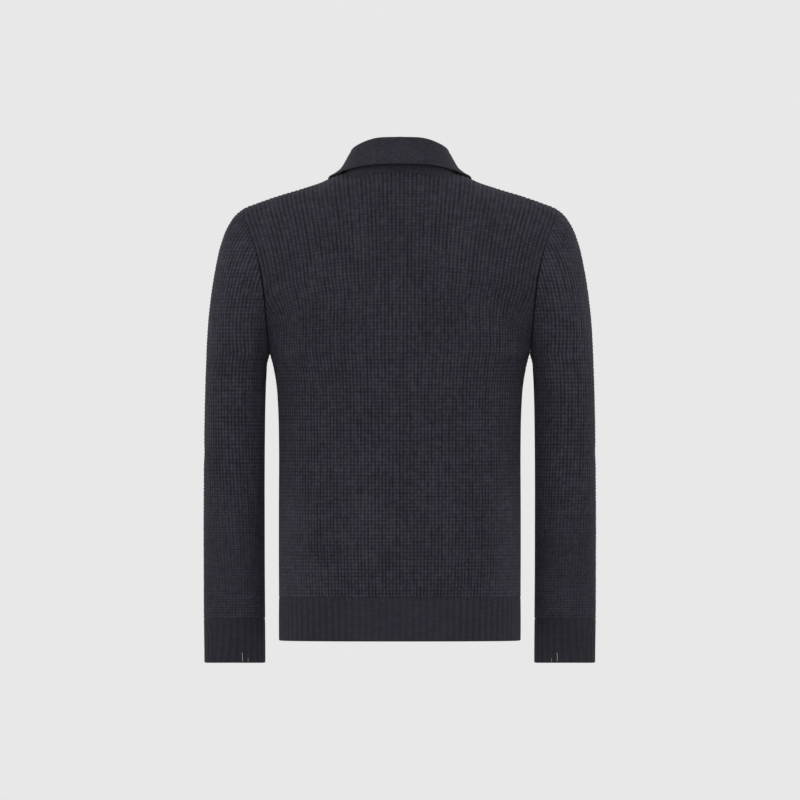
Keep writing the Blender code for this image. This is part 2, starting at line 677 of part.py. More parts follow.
def on_slider(name, outline, half_width, finish):
    """A solid whose side outline, in (out, up) pairs, is as wide as twice half_width."""
    place, out, up = slider_frame()
    n = len(outline)
    points = [place + np.array([side * half_width, 0, 0]) + out * o + up * u
              for side in (-1, 1) for o, u in outline]
    faces = [tuple(range(n)), tuple(range(n, 2 * n))]
    for c in range(n):
        d = (c + 1) % n
        faces.append((c, d, n + d, n + c))
    return solid(name, points, faces, finish)


def make_slider():
    long, flat = SLIDER_HALF_LENGTH, SLIDER_HALF_LENGTH - PLATE_BEVEL_LONG
    root, crown = SLIDER_PLATE - PLATE_BEVEL_HIGH, SLIDER_PLATE + BRIDGE_ROOM
    body = [(0, -long), (root, -long), (SLIDER_PLATE, -flat),
            (SLIDER_PLATE, flat), (root, long), (0, long)]
    slider = on_slider("zip_slider", body, SLIDER_HALF_WIDTH, DARK_METAL)
    end, bar = BRIDGE_HALF_LENGTH, BRIDGE_BAR
    arch = [(root, -end), (crown, -end), (crown + bar, -end + bar), (crown + bar, end - bar),
            (crown, end), (root, end), (root, end - bar), (crown, end - bar),
            (crown, -end + bar), (root, -end + bar)]
    bridge = on_slider("zip_bridge", arch, BRIDGE_HALF_WIDTH, DARK_METAL)
    bridge.hide_render = True
    bridge.display_type = "WIRE"
    join = slider.modifiers.new("bridge", "BOOLEAN")
    join.operation = "UNION"
    join.object = bridge


def hinge_point():
    place, out, up = slider_frame()
    return place + out * (SLIDER_PLATE + BRIDGE_ROOM / 2) - up * HINGE_DROP


def make_pull():
    """The pull tab: a tapered plate that hangs by the crossbar above its window."""
    _, out, up = slider_frame()
    hinge = hinge_point()
    top, wide = PULL_THICK / 2, PULL_HALF_WIDTH
    right = [(wide - PULL_CORNER, top), (wide, top - PULL_CORNER),
             (wide - PULL_WAIST, -PULL_WAIST_DROP),
             (wide + PULL_FLARE, -PULL_LENGTH + PULL_END),
             (wide - PULL_END_CORNER, -PULL_LENGTH)]
    outline = right + [(-x, u) for x, u in reversed(right)]
    hole = [(-WINDOW_HALF_WIDTH, -WINDOW_TOP), (WINDOW_HALF_WIDTH, -WINDOW_TOP),
            (WINDOW_HALF_WIDTH, -WINDOW_BOTTOM), (-WINDOW_HALF_WIDTH, -WINDOW_BOTTOM)]
    work = bmesh.new()
    for loop in (outline, hole):
        made = [work.verts.new(hinge + np.array([x, 0, 0]) + up * u - out * PULL_THICK / 2)
                for x, u in loop]
        for k, vert in enumerate(made):
            work.edges.new((vert, made[(k + 1) % len(made)]))
    filled = bmesh.ops.triangle_fill(work, edges=work.edges[:], use_beauty=True)
    flat = [item for item in filled["geom"] if isinstance(item, bmesh.types.BMFace)]
    lifted = bmesh.ops.extrude_face_region(work, geom=flat)["geom"]
    verts = [item for item in lifted if isinstance(item, bmesh.types.BMVert)]
    bmesh.ops.translate(work, verts=verts, vec=tuple(out * PULL_THICK))
    work.verts.index_update()
    points = [tuple(vert.co) for vert in work.verts]
    faces = [tuple(vert.index for vert in face.verts) for face in work.faces]
    work.free()
    solid("zip_pull", points, faces, DARK_METAL)


def make_zip():
    box_top = HEM_BOTTOM_Z + END_BOX_LENGTH
    deep = KNIT_WALL + 2 * SEAM_GAP
    deeper = deep + SEAM_GAP
    tape = [(CHAIN_HALF + SEAM_GAP, deep), (TAPE_HALF, deeper),
            (TAPE_HALF, deeper + TAPE_WALL), (CHAIN_HALF + SEAM_GAP, deep + TAPE_WALL)]
    frames = zip_frames(NECK_FRONT_Z - TAPE_SHORT, HEM_BOTTOM_Z + TAPE_SHORT, ZIP_ROWS)
    swept("zip_tape_left", frames, tape, NAVY_TAPE)
    swept("zip_tape_right", frames, [(-x, d) for x, d in tape], NAVY_TAPE)
    half, near, far = CHAIN_HALF, CHAIN_SUNK, CHAIN_DEEP
    chain = [(-half + CHAIN_EASE, near), (half - CHAIN_EASE, near), (half, near + CHAIN_EASE),
             (half, far), (-half, far), (-half, near + CHAIN_EASE)]
    swept("zip_chain", zip_frames(SLIDER_Z, box_top + SEAM_GAP, ZIP_ROWS), chain, DARK_METAL)
    half, far = END_BOX_HALF, CHAIN_DEEP - SEAM_GAP
    box = [(-half, -END_BOX_PROUD), (half, -END_BOX_PROUD), (half, far), (-half, far)]
    swept("zip_end_box", zip_frames(box_top, HEM_BOTTOM_Z, 2), box, DARK_METAL)
    make_slider()
    make_pull()


# ---------------------------------------------------------------- build
def main():
    for obj in list(bpy.data.objects):
        bpy.data.objects.remove(obj, do_unlink=True)
    make_back()
    make_fronts()
    make_hem()
    make_sleeves()
    make_cuffs()
    make_collar()
    make_zip()


main()
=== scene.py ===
"""The finished look of a zip-up knitted sweater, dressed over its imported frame.

Metres, +Z up, in the frame's own axes: the origin is the middle of the neck opening, +X is the
wearer's left and the front faces -Y. Each knitted piece is a thin shell on the form of its solid.
Its mesh follows the knit: a column of points for each part of a rib, a row for each half course,
so that the ribs and the courses of the waffle knit are raised in the mesh itself.
"""

import math
from collections import namedtuple

import bpy
import numpy as np
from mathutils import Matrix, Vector


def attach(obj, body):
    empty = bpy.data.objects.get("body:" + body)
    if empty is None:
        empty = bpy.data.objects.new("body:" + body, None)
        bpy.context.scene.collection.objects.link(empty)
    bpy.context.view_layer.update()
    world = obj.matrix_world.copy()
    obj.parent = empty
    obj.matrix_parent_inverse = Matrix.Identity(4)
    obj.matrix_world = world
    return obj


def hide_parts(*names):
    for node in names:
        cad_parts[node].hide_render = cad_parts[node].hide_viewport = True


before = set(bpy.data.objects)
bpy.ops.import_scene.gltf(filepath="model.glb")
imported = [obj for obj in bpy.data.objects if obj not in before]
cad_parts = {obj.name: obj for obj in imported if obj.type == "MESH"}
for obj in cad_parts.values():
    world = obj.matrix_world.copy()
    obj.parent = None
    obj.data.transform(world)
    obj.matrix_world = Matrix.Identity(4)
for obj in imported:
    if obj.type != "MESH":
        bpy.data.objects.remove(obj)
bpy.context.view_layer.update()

SIDES = ((1, "left"), (-1, "right"))
MIRROR = np.array([-1.0, 1.0, 1.0])

# ------------ sizes of the garment
KNIT_WALL = 0.0030
RIB_WALL = 0.0020
RIB_HEIGHT = 0.0011
COLLAR_WALL = 0.0024
TAPE_WALL = 0.0008
SEAM_GAP = 0.0003
SHOULDER_GAP = 0.0001

UNDERARM_Z = -0.2491
BODY_BOTTOM_Z = -0.5983
HEM_BOTTOM_Z = -0.6617
FULLNESS = 2.5
SHOULDER_DROP = 0.25
SHOULDER_ROUND = 2.2
COLUMN_BLEND = 0.4  # of the way up to the shoulder, where columns turn to their place there

NECK_HALF = 0.080
NECK_STEPS = 12
NECK_BACK_Z = 0.0137
NECK_SIDE_Z = 0.0145
NECK_FRONT_Z = -0.0650
NECK_DIP = 0.0195
NECK_CORNER = 8
NECK_FRONT_ROUND = 0.75
TOP_ROOM = 0.002

HEM_RIBS = 48  # in half of the hem's round
CUFF_RIBS = 26

ZIP_HALF = 0.0045
CHAIN_HALF = 0.0026
TAPE_HALF = 0.0130
TAPE_LENGTH = 0.593
TAPE_DEEP = KNIT_WALL + 2.6 * SEAM_GAP
TAPE_ROOM = 0.001
TAPE_ROWS = 160
TAPE_COLUMNS = 13
TAPE_STITCH = (0.0016, 0.0008)
SLIDER_Z = -0.0745
END_BOX_LENGTH = 0.0080
TOOTH_PITCH = 0.0014
TOOTH_SHARP = 35.0
TOOTH = [(-0.0004, -0.42), (0.0010, -0.42), (0.0018, -0.30), (0.0026, -0.30),
         (0.0026, 0.30), (0.0018, 0.30), (0.0010, 0.42), (-0.0004, 0.42)]  # x, part of the pitch
TOOTH_LEVELS = [(0.0004, 0.86), (0.0008, 1.0), (0.0034, 1.0)]  # how deep, how large

CUFF_TOP_Z = -0.6300
CUFF_BOTTOM_Z = -0.6949
TILT_ENDS_Z = -0.5900  # below it the sleeve's rings are level
TILT_FADE = 0.12
SLEEVE_BULGE = 0.006
FOLD_RADIUS = 0.0034
LEAF_CLEAR = 0.0026

Section = namedtuple("Section", "z half_width back front")
BODY = [
    Section(-0.6700, 0.1738, 0.1075, 0.1035),
    Section(-0.6300, 0.1740, 0.1080, 0.1045),
    Section(-0.5983, 0.1738, 0.1110, 0.1085),
    Section(-0.5500, 0.1740, 0.1180, 0.1160),
    Section(-0.4700, 0.1740, 0.1205, 0.1215),
    Section(-0.3730, 0.1739, 0.1205, 0.1245),
    Section(-0.3267, 0.1750, 0.1205, 0.1260),
    Section(-0.2808, 0.1792, 0.1200, 0.1275),
    Section(-0.2491, 0.1870, 0.1200, 0.1290),
    Section(-0.2300, 0.1927, 0.1200, 0.1300),
    Section(-0.2000, 0.2060, 0.1200, 0.1305),
    Section(-0.1500, 0.2307, 0.1200, 0.1305),
    Section(-0.1000, 0.2577, 0.1200, 0.1300),
    Section(-0.0500, 0.2800, 0.1200, 0.1300),
    Section(0.0000, 0.2900, 0.1200, 0.1300),
    Section(0.0600, 0.2950, 0.1200, 0.1300),
]

Ridge = namedtuple("Ridge", "x back front seam_drop")
SHOULDER = [
    Ridge(0.0000, 0.0420, -0.0180, 0.0000),
    Ridge(0.0300, 0.0375, -0.0145, 0.0000),
    Ridge(0.0600, 0.0240, -0.0020, 0.0000),
    Ridge(0.0800, 0.0145, 0.0145, 0.0000),
    Ridge(0.0965, 0.0058, 0.0058, 0.0000),
    Ridge(0.1100, -0.0009, -0.0009, 0.0000),
    Ridge(0.1395, -0.0109, -0.0109, 0.0006),
    Ridge(0.1775, -0.0224, -0.0224, 0.0050),
    Ridge(0.2096, -0.0337, -0.0337, 0.0098),
    Ridge(0.2228, -0.0389, -0.0389, 0.0100),
    Ridge(0.2316, -0.0446, -0.0446, 0.0100),
    Ridge(0.2450, -0.0550, -0.0550, 0.0100),
]

Armhole = namedtuple("Armhole", "z back front")
ARMHOLE = [
    Armhole(-0.2491, 0.1870, 0.1870),
    Armhole(-0.2146, 0.1905, 0.1888),
    Armhole(-0.1714, 0.1944, 0.1905),
    Armhole(-0.1354, 0.1987, 0.1940),
    Armhole(-0.0994, 0.2074, 0.2030),
    Armhole(-0.0734, 0.2160, 0.2130),
    Armhole(-0.0504, 0.2245, 0.2240),
    Armhole(-0.0400, 0.2262, 0.2262),
]

Head = namedtuple("Head", "z x")
SLEEVE_HEAD = [
    Head(-0.2620, 0.2790),
    Head(-0.2290, 0.2776),
    Head(-0.1944, 0.2752),
    Head(-0.1598, 0.2712),
    Head(-0.1253, 0.2656),
    Head(-0.0907, 0.2577),
    Head(-0.0677, 0.2490),
    Head(-0.0562, 0.2422),
    Head(-0.0504, 0.2377),
    Head(-0.0446, 0.2316),
    Head(-0.0412, 0.2266),
]

Arm = namedtuple("Arm", "z inner outer half_depth middle_y")
SLEEVE = [
    Arm(-0.7000, 0.1942, 0.2822, 0.0280, -0.0800),
    Arm(-0.6800, 0.1942, 0.2822, 0.0282, -0.0742),
    Arm(-0.6200, 0.1945, 0.2829, 0.0320, -0.0560),
    Arm(-0.5600, 0.1948, 0.2829, 0.0400, -0.0380),
    Arm(-0.5000, 0.1948, 0.2829, 0.0470, -0.0225),
    Arm(-0.4400, 0.1948, 0.2825, 0.0530, -0.0105),
    Arm(-0.3730, 0.1944, 0.2818, 0.0590, -0.0030),
    Arm(-0.3150, 0.1935, 0.2806, 0.0630, 0.0000),
    Arm(-0.2810, 0.1922, 0.2797, 0.0650, 0.0000),
    Arm(-0.2620, 0.1908, 0.2790, 0.0660, 0.0000),
]

Leaf = namedtuple("Leaf", "angle fold_x fold_y fold_z edge_x edge_y edge_z hollow")
COLLAR = [
    Leaf(0.0, 0.0000, 0.0600, 0.0629, 0.0000, 0.0705, 0.0242, 0.0000),
    Leaf(30.0, 0.0345, 0.0540, 0.0612, 0.0425, 0.0635, 0.0226, 0.0000),
    Leaf(60.0, 0.0600, 0.0300, 0.0515, 0.0795, 0.0345, 0.0146, 0.0025),
    Leaf(90.0, 0.0670, -0.0040, 0.0410, 0.0985, -0.0015, 0.0032, 0.0055),
    Leaf(120.0, 0.0560, -0.0390, 0.0230, 0.1000, -0.0490, -0.0105, 0.0035),
    Leaf(150.0, 0.0320, -0.0640, -0.0040, 0.0820, -0.0930, -0.0540, 0.0000),
    Leaf(177.0, 0.0052, -0.0735, -0.0270, 0.0460, -0.1110, -0.0930, 0.0000),
]

# How far apart the sleeve's courses are, how deep its grooves between ribs, and how much painted
# shade darkens its yarn (painted light where below 0).
Course = namedtuple("Course", "z pitch grooves dim")
SLEEVE_COURSES = [
    Course(-0.7000, 0.0042, 0.50, 0.14),
    Course(-0.6300, 0.0042, 0.52, 0.14),
    Course(-0.5750, 0.0039, 0.52, 0.14),
    Course(-0.5170, 0.0041, 0.65, 0.12),
    Course(-0.4600, 0.0046, 0.85, 0.04),
    Course(-0.4000, 0.0053, 1.00, 0.00),
    Course(-0.2000, 0.0054, 1.00, -0.02),
    Course(0.0000, 0.0054, 1.00, -0.06),
]

# Steps of the smooth control grids that the knit is laid on.
SHOULDER_STEPS = 20
ROWS_BELOW = 14
ROWS_ABOVE = 40
SLEEVE_HEAD_ROWS = 26
SLEEVE_LEVELS = 28
SLEEVE_PARTS = ("crown", "head", "upper", "lower")  # the solids of a sleeve
STAND_STEPS = 5
FOLD_STEPS = 8
LEAF_STEPS = 9
COLLAR_STEPS = 30

# Numbers of points along curves that are only measured.
SECTION_POINTS = 241
COLUMN_POINTS = (40, 220)  # below and above the underarm
OVER_RIDGE = np.linspace(0.02, 1, 12) ** 2  # steps of the front's edge behind the ridge
CURVE_POINTS = 200
FINE_POINTS = 400
TURN_POINTS = 160  # round half of the sleeve
SLICE_POINTS = 140  # along a level line of the sleeve
PROBE_ROW = 5  # where a grid's normals are asked for their way
TINY = 1e-12
NEARLY = 1e-9
SAME_POINT = 2e-6

# ------------ sizes of the knit
RIB_POINTS = 4  # points across one rib
ROW_POINTS = 2  # points up one course
BODY_COURSE = 0.0050
BODY_RIBS = 48  # in half of the back or in one front, below the armholes
SHOULDER_RIBS = 36  # those of them that reach the shoulder and the neck
SLEEVE_RIBS = 32  # in half of the sleeve's round, under the arm
WRIST_RIBS = 27
ARM_RIB = 0.0050
CUFF_COURSE = 0.0040  # about the height of the sleeve's lowest course
GROOVE_DEPTH = 0.0009  # between two ribs
COURSE_DEPTH = 0.0006  # between two courses
COURSE_IN_GROOVE = 0.40  # how deep a course is between two ribs, beside 1 on a rib
RIB_SHADE = 0.76  # how much painted shade darkens the yarn deep between two ribs
COURSE_SHADE = 0.56  # and between two courses
DARKEST = 1.2  # times that at most
INNER_SHADE = 0.3
EDGE_FADE = 0.0022  # the relief dies out over this width along a seam
FOLD_FADE = 0.012  # and the folds over this one
# SEAM_WIDTH: how wide the painted shade in a seam's crease is.
SEAM_WIDTH = 0.0014
SEAM_SINK = 0.0008  # how far a knitted edge dips into its seam
QUIET_SEAM = 0.10  # how marked most seams are, in their dip and their painted shade, beside the lower armhole's 1
SEAM_ROOM = 0.02
KNIT_LIFT = 0.0003  # of the highest points over the form
SHARP = 70.0  # degrees between faces that meet in an edge and not in a curve

# How unevenly the grooves run: slow and quick changes, and how many lines a slow one takes.
Uneven = namedtuple("Uneven", "slow quick every")
RIB_UNEVEN = Uneven(0.25, 0.25, 6.0)
COURSE_UNEVEN = Uneven(0.25, 0.35, 5.0)

# Where the knit changes, as the start and the width of a smooth rise, and by how much.
NARROWING = (0.345, 0.125)  # up the panel, from BODY_RIBS to SHOULDER_RIBS
WIDENING = (-0.62, 0.33)  # up the sleeve, from WRIST_RIBS to SLEEVE_RIBS
CALM_ASIDE = (0.11, 0.05)  # outward on the body, where its grooves are shallower
CALM_BELOW = (0.40, 0.08)  # and down the body
CALM = 0.5
DIM_HIGH = (-0.34, 0.20)  # up the body, where painted shade darkens it
DIM_HIGH_PART = 0.15
DIM_ASIDE = (0.09, 0.06)  # outward on the body, below the armholes, where painted shade darkens it
DIM_ASIDE_PART = 0.10
DIM_ARM = (0.30, 0.20)  # down the sleeve, where painted shade darkens its outer side and painted light brightens its inner side
DIM_ARM_PART = 0.12
FAINT_COURSES = (-0.32, 0.22)  # up the garment, where the painted shade of its courses is fainter
FAINT_PART = 0.35
MARKED_SEAM = (0.085, 0.05)  # down the armhole

# ------------ sizes of the ribbed bands
BAND_POINTS = 8  # points across one rib of the hem and the cuffs
BAND_ROWS = 22
BAND_STITCH = 0.0016
BAND_COURSE = 0.004
BAND_ROUND = 0.0016  # the height over which the free edge is rounded
BAND_EDGE_ROWS = np.array([0.70, 0.40, 0.15, 0.0])
BAND_LIFT = 0.0002
BAND_POWER = 2.2
BAND_TOP = 0.004  # the ribs grow from the seam over this height
TOP_LIFT = 0.55
TOP_SHADE = 0.25
HEM_RELIEF = 0.70
HEM_DARK = 0.35  # painted shade between the hem's ribs, in the middle
HEM_DARKER = 0.40  # so much more towards the sides
HEM_ASIDE = (0.05, 0.05)
HEM_WOBBLE = 0.02  # in ribs
HEM_WOBBLE_COURSES = 5.0
CUFF_RELIEF = 0.55
# Painted shade between the cuff's ribs, and more painted shade over the whole cuff.
CUFF_DARK = 0.60
CUFF_SHADE = 0.08
CUFF_SLANT = 0.6  # in ribs
CUFF_SLANT_RIBS = 3  # that lean together
CUFF_SLANT_COURSES = 8.0

# ------------ sizes of the collar's knit
COLLAR_ROWS = 74
COLLAR_COLUMNS = 300
COLLAR_EDGE = np.array([0.0, 0.012, 0.035, 0.07, 0.12, 0.20])  # close together at its edges
COLLAR_INSIDE = 0.3
COLLAR_STITCH = (0.0021, 0.0019)
TURNED_EDGE = 0.006  # from the edge to the line that is sewn along it
TURNED_WIDTH = 0.0006
TURNED_DEPTH = 0.0003
# TURNED_DARK: how much painted shade darkens the sewn line's dent.
TURNED_DARK = 0.8

BACK_SEED = 11
FRONT_SEED = 23
SLEEVE_SEED = 41
HEM_SEED = 61
CUFF_SEED = 71

# ------------ the photograph's view
PIXEL = 0.00144  # metres to one of the photograph's 800 pixels at the garment
PHOTO_SIDE = 800
CAMERA_DISTANCE = 24.0
CAMERA_REACH = 200.0
PHOTO_MIDDLE = 399.8  # the pixel column of the garment's middle
SENSOR = 36.0
NAPE_ROW = 181  # the pixel row of the frame's origin
FLOOR_Z = -0.9500
STAGE_SIDE = 60.0
STUDIO = 0.807  # the brightness of the room, which is the photograph's background
KEY = 0.90
KEY_WAY = (0.10, 1.0, 0.60)
KEY_SPREAD = 50
# The floor looks as bright as the room.
FLOOR_TONE = STUDIO / (STUDIO + KEY * KEY_WAY[2] / math.hypot(*KEY_WAY) / math.pi)


# ------------ curves through the tables
def through(rows, key, value):
    """A smooth function of one column of a table that passes through every row."""
    xs = np.array([getattr(row, key) for row in rows])
    ys = np.array([getattr(row, value) for row in rows])
    order = np.argsort(xs)
    xs, ys = xs[order], ys[order]
    slopes = np.gradient(ys, xs)

    def at(x):
        x = np.clip(x, xs[0], xs[-1])
        i = np.clip(np.searchsorted(xs, x) - 1, 0, len(xs) - 2)
        span = xs[i + 1] - xs[i]
        u = (x - xs[i]) / span
        start = (1 + 2 * u) * (1 - u) ** 2 * ys[i] + u * (1 - u) ** 2 * span * slopes[i]
        end = u**2 * (3 - 2 * u) * ys[i + 1] + u**2 * (u - 1) * span * slopes[i + 1]
        return start + end

    return at


half_width = through(BODY, "z", "half_width")
reach = {1: through(BODY, "z", "back"), -1: through(BODY, "z", "front")}
ridge = {1: through(SHOULDER, "x", "back"), -1: through(SHOULDER, "x", "front")}
seam_drop = through(SHOULDER, "x", "seam_drop")
armhole_x = {1: through(ARMHOLE, "z", "back"), -1: through(ARMHOLE, "z", "front")}
head_x = through(SLEEVE_HEAD, "z", "x")
arm = {name: through(SLEEVE, "z", name) for name in Arm._fields[1:]}
course_pitch = through(SLEEVE_COURSES, "z", "pitch")
rib_grooves = through(SLEEVE_COURSES, "z", "grooves")
sleeve_painted_shading = through(SLEEVE_COURSES, "z", "dim")
leaf_row = {name: through(COLLAR, "angle", name) for name in Leaf._fields[1:]}


def smooth_step(t):
    t = np.clip(t, 0, 1)
    return t * t * (3 - 2 * t)


def ramp(value, start, width):
    """A smooth rise from 0 to 1 that starts there and is so wide."""
    return smooth_step((value - start) / width)


def rounded(near):
    """The thickness of a rounded edge, from 0 at the edge to 1 inside it."""
    return np.sqrt(np.clip(1 - (1 - near) ** 2, 0, 1))


def rib_form(rib, power):
    """The height of a rib's cross-section, 0 between two ribs and 1 on one."""
    return 1 - (1 - np.abs(np.sin(math.pi * rib))) ** power


def between(lines):
    """1 between two ribs or courses and 0 in the middle of one."""
    return (1 + np.cos(2 * math.pi * lines)) / 2


def unit(vectors):
    return vectors / np.maximum(np.linalg.norm(vectors, axis=-1, keepdims=True), TINY)


def strides(points, axis=0):
    """The distances between neighbouring points."""
    return np.linalg.norm(np.diff(points, axis=axis), axis=-1)


def running(steps, axis=0):
    """The sums of the steps up to each point, from 0."""
    sums = np.cumsum(steps, axis=axis)
    return np.concatenate([0 * np.take(sums, [0], axis), sums], axis=axis)


def resample(line, fractions):
    """Points at these fractions of a polyline's length."""
    along = running(strides(line))
    at = np.asarray(fractions) * along[-1]
    return np.stack([np.interp(at, along, line[:, k]) for k in range(3)], axis=1)


# ------------ the form of the body
def body_y(x, z, side):
    """The outer face of the body behind (side 1) or before (side -1) the shoulder line."""
    across = np.clip(1 - (np.abs(x) / half_width(z)) ** FULLNESS, 0, 1) ** (1 / FULLNESS)
    drop = np.clip((ridge[side](x) - z) / SHOULDER_DROP, 0, 1)
    over = (1 - (1 - drop) ** SHOULDER_ROUND) ** (1 / SHOULDER_ROUND)
    return side * reach[side](z) * across * over


def neck_z(x, side):
    """The height of the neck seam."""
    u = np.clip(x / NECK_HALF, 0, 1)
    if side > 0:
        rise = NECK_SIDE_Z - NECK_BACK_Z + NECK_DIP
        return NECK_BACK_Z - NECK_DIP * u**2 + rise * u**NECK_CORNER
    return NECK_SIDE_Z + (NECK_FRONT_Z - NECK_SIDE_Z) * (1 - u**2) ** NECK_FRONT_ROUND


def top_z(x, side, in_neck):
    """The height where a column of the body ends: at the neck or at the shoulder seam."""
    if in_neck:
        return neck_z(x, side)
    return ridge[side](x) - (seam_drop(x) if side > 0 else 0)


def neck_point(angle):
    """The neck seam at an angle in degrees from the middle of the back."""
    side = 1 if angle <= 90 else -1
    x = NECK_HALF * math.sin(math.radians(angle))
    z = float(neck_z(x, side))
    return np.array([x, float(body_y(x, z, side)), z])


def section(z, side):
    """Half of a horizontal section below the underarm, from its middle to its side."""
    turn = np.linspace(0, math.pi / 2, SECTION_POINTS)
    power = 2 / FULLNESS
    x = half_width(z) * np.sin(turn) ** power
    y = side * reach[side](z) * np.cos(turn) ** power
    return np.stack([x, y, np.full(SECTION_POINTS, z)], axis=1)


def section_row(z, side, fractions, inset):
    """Points of that section, which starts so far beside the garment's middle."""
    row = resample(section(z, side), fractions)
    row[:, 0] = inset + (1 - inset / half_width(z)) * row[:, 0]
    return row


def edge_by_height(side):
    """The armhole's x by height, as a fraction of the way from the underarm to the shoulder."""
    z = np.linspace(ARMHOLE[0].z, ARMHOLE[-1].z, CURVE_POINTS)
    x = armhole_x[side](z)
    part = (z - UNDERARM_Z) / (ridge[side](x) - UNDERARM_Z)
    return lambda w: np.interp(w, part, x)


def column(s, side, inset, over_ridge):
    """A column of the body from hem to shoulder or neck: below and above the underarm."""
    low, high = COLUMN_POINTS
    arc = resample(section(UNDERARM_Z, side), [s])[0][0] / half_width(UNDERARM_Z)
    below = np.concatenate([section_row(z, side, [s], inset)
                            for z in np.linspace(BODY_BOTTOM_Z, UNDERARM_Z, low)])

    w = np.sin(np.linspace(0, math.pi / 2, high)) ** (2 / SHOULDER_ROUND)
    blend = smooth_step(w / COLUMN_BLEND)
    edge = edge_by_height(side)(w)
    x = inset + (edge - inset) * (arc * (1 - blend) + s * blend)
    z = UNDERARM_Z + w * (ridge[side](x) - UNDERARM_Z)
    above = np.stack([x, body_y(x, z, side), z], axis=1)
    above[0] = below[-1]
    in_neck = x[-1] < NECK_HALF
    room = top_z(x, side, in_neck) - z
    over = room <= NEARLY
    inside = np.argmax(over) if over.any() else len(z) - 1
    part = room[inside - 1] / (room[inside - 1] - room[inside])
    end_x = x[inside - 1] + part * (x[inside] - x[inside - 1])
    end_z = top_z(end_x, side, in_neck)
    end = np.array([end_x, body_y(end_x, end_z, side), end_z])
    above = np.concatenate([above[:inside], [end]])
    if not in_neck and over_ridge:
        drops = seam_drop(x[-1]) * OVER_RIDGE
        crown = ridge[1](edge[-1])
        far = x[-1] * armhole_x[1](crown - drops) / armhole_x[1](crown)
        level = ridge[1](far) - drops
        beyond = np.stack([far, body_y(far, level, 1), level], axis=1)
        above = np.concatenate([above, beyond])
    return below, above


def panel_grid(side, columns, inset, over_ridge):
    """The outer points of half a panel: rows from hem to top, columns from the middle outward."""
    rows_below = np.linspace(0, 1, ROWS_BELOW + 1)
    rows_above = np.linspace(0, 1, ROWS_ABOVE + 1)[1:]
    grid = []
    for i, s in enumerate(columns):
        below, above = column(s, side, inset, over_ridge)
        if len(columns) > 1 and i <= NECK_STEPS:
            turn = 90.0 * i / NECK_STEPS
            top = neck_point(turn if side > 0 else 180.0 - turn)
            if i == 0:
                top[0] = inset
            above = np.concatenate([above[above[:, 2] < top[2] - TOP_ROOM], [top]])
        line = [resample(below, rows_below), resample(above, rows_above)]
        grid.append(np.concatenate(line))
    return np.stack(grid, axis=1)


def body_columns():
    """Fractions across half of the body; the first of them end at the neck."""
    neck = [NECK_HALF / ARMHOLE[-1].back * math.sin(math.pi / 2 * i / NECK_STEPS)
            for i in range(NECK_STEPS + 1)]
    rest = np.linspace(neck[-1], 1, SHOULDER_STEPS + 1)[1:]
    return np.concatenate([neck, rest])


def both_halves(grid):
    """A grid from the garment's middle outward, with its mirror image before it."""
    return np.concatenate([(grid * MIRROR)[:, :0:-1], grid], axis=1)


# ------------ the form of the sleeves
def arm_ring(z, turn):
    """A section of the hanging sleeve; turn 0 is its outer line and 90 degrees its back."""
    step = 0.01
    lean = math.atan2(float(arm["middle_y"](z + step) - arm["middle_y"](z - step)), 2 * step)
    lean *= float(ramp(z, TILT_ENDS_Z, TILT_FADE))
    half = (arm["outer"](z) - arm["inner"](z)) / 2
    middle = (arm["outer"](z) + arm["inner"](z)) / 2
    deep = arm["half_depth"](z) * np.sin(turn)
    x = middle + half * np.cos(turn)
    y = arm["middle_y"](z) + deep * math.cos(lean)
    return np.stack([x, y, z - deep * math.sin(lean)], axis=1)


def armhole_ring(turns):
    """The armhole seam at these turns, from the underarm up the front and down the back."""
    back = panel_grid(1, [1.0], 0.0, False)[ROWS_BELOW:, 0]
    front = panel_grid(-1, [1.0], ZIP_HALF, True)[ROWS_BELOW:, 0]
    ring = np.concatenate([front[:-1], back[::-1]])
    top = ring[:, 2].max()
    middle, half = (top + UNDERARM_Z) / 2, (top - UNDERARM_Z) / 2
    turn = np.arccos(np.clip((ring[:, 2] - middle) / half, -1, 1))
    turn[ring[:, 1] < -1e-6] *= -1
    turn[0], turn[-1] = -math.pi, math.pi
    return np.stack([np.interp(turns, turn, ring[:, k]) for k in range(3)], axis=1)


def sleeve_grid():
    """The sleeve's control grid, from the cuff up to the armhole."""
    turns = np.linspace(-math.pi, math.pi, 2 * ROWS_ABOVE + 1)
    first = armhole_ring(turns)
    heights = np.linspace(SLEEVE_HEAD[-1].z, SLEEVE_HEAD[0].z, CURVE_POINTS)
    outline = np.stack([head_x(heights), np.zeros(CURVE_POINTS), heights], axis=1)
    parts = np.linspace(0, 1, SLEEVE_HEAD_ROWS)
    low = np.array([ARMHOLE[0].back, 0.0, UNDERARM_Z])
    end = np.array([SLEEVE[-1].inner, 0.0, SLEEVE[-1].z])
    depth = np.abs(first[:, 1]).max()
    rings = []
    for part, far in zip(parts, resample(outline, parts)):
        near = low + (end - low) * part
        middle, half = (far + near) / 2, (far - near) / 2
        deep = depth + (SLEEVE[-1].half_depth - depth) * part
        deep += SLEEVE_BULGE * math.sin(math.pi * part)
        ring = middle + np.outer(np.cos(turns), half)
        ring[:, 1] = deep * np.sin(turns)
        if part == 0:
            off = first - ring
        rings.append(ring + off * (1 - part) ** 2)
    levels = np.linspace(SLEEVE[-1].z, CUFF_TOP_Z, SLEEVE_LEVELS + 1)[1:]
    rings += [arm_ring(z, turns) for z in levels]
    return np.stack(rings[::-1])


# ------------ the form of the collar
def body_z(x, y):
    """The height of the body's outer face over a point of the plan."""
    side = 1 if y >= 0 else -1
    z = np.linspace(float(ridge[side](x)), UNDERARM_Z, FINE_POINTS)
    return float(np.interp(abs(y), np.abs(body_y(x, z, side)), z))


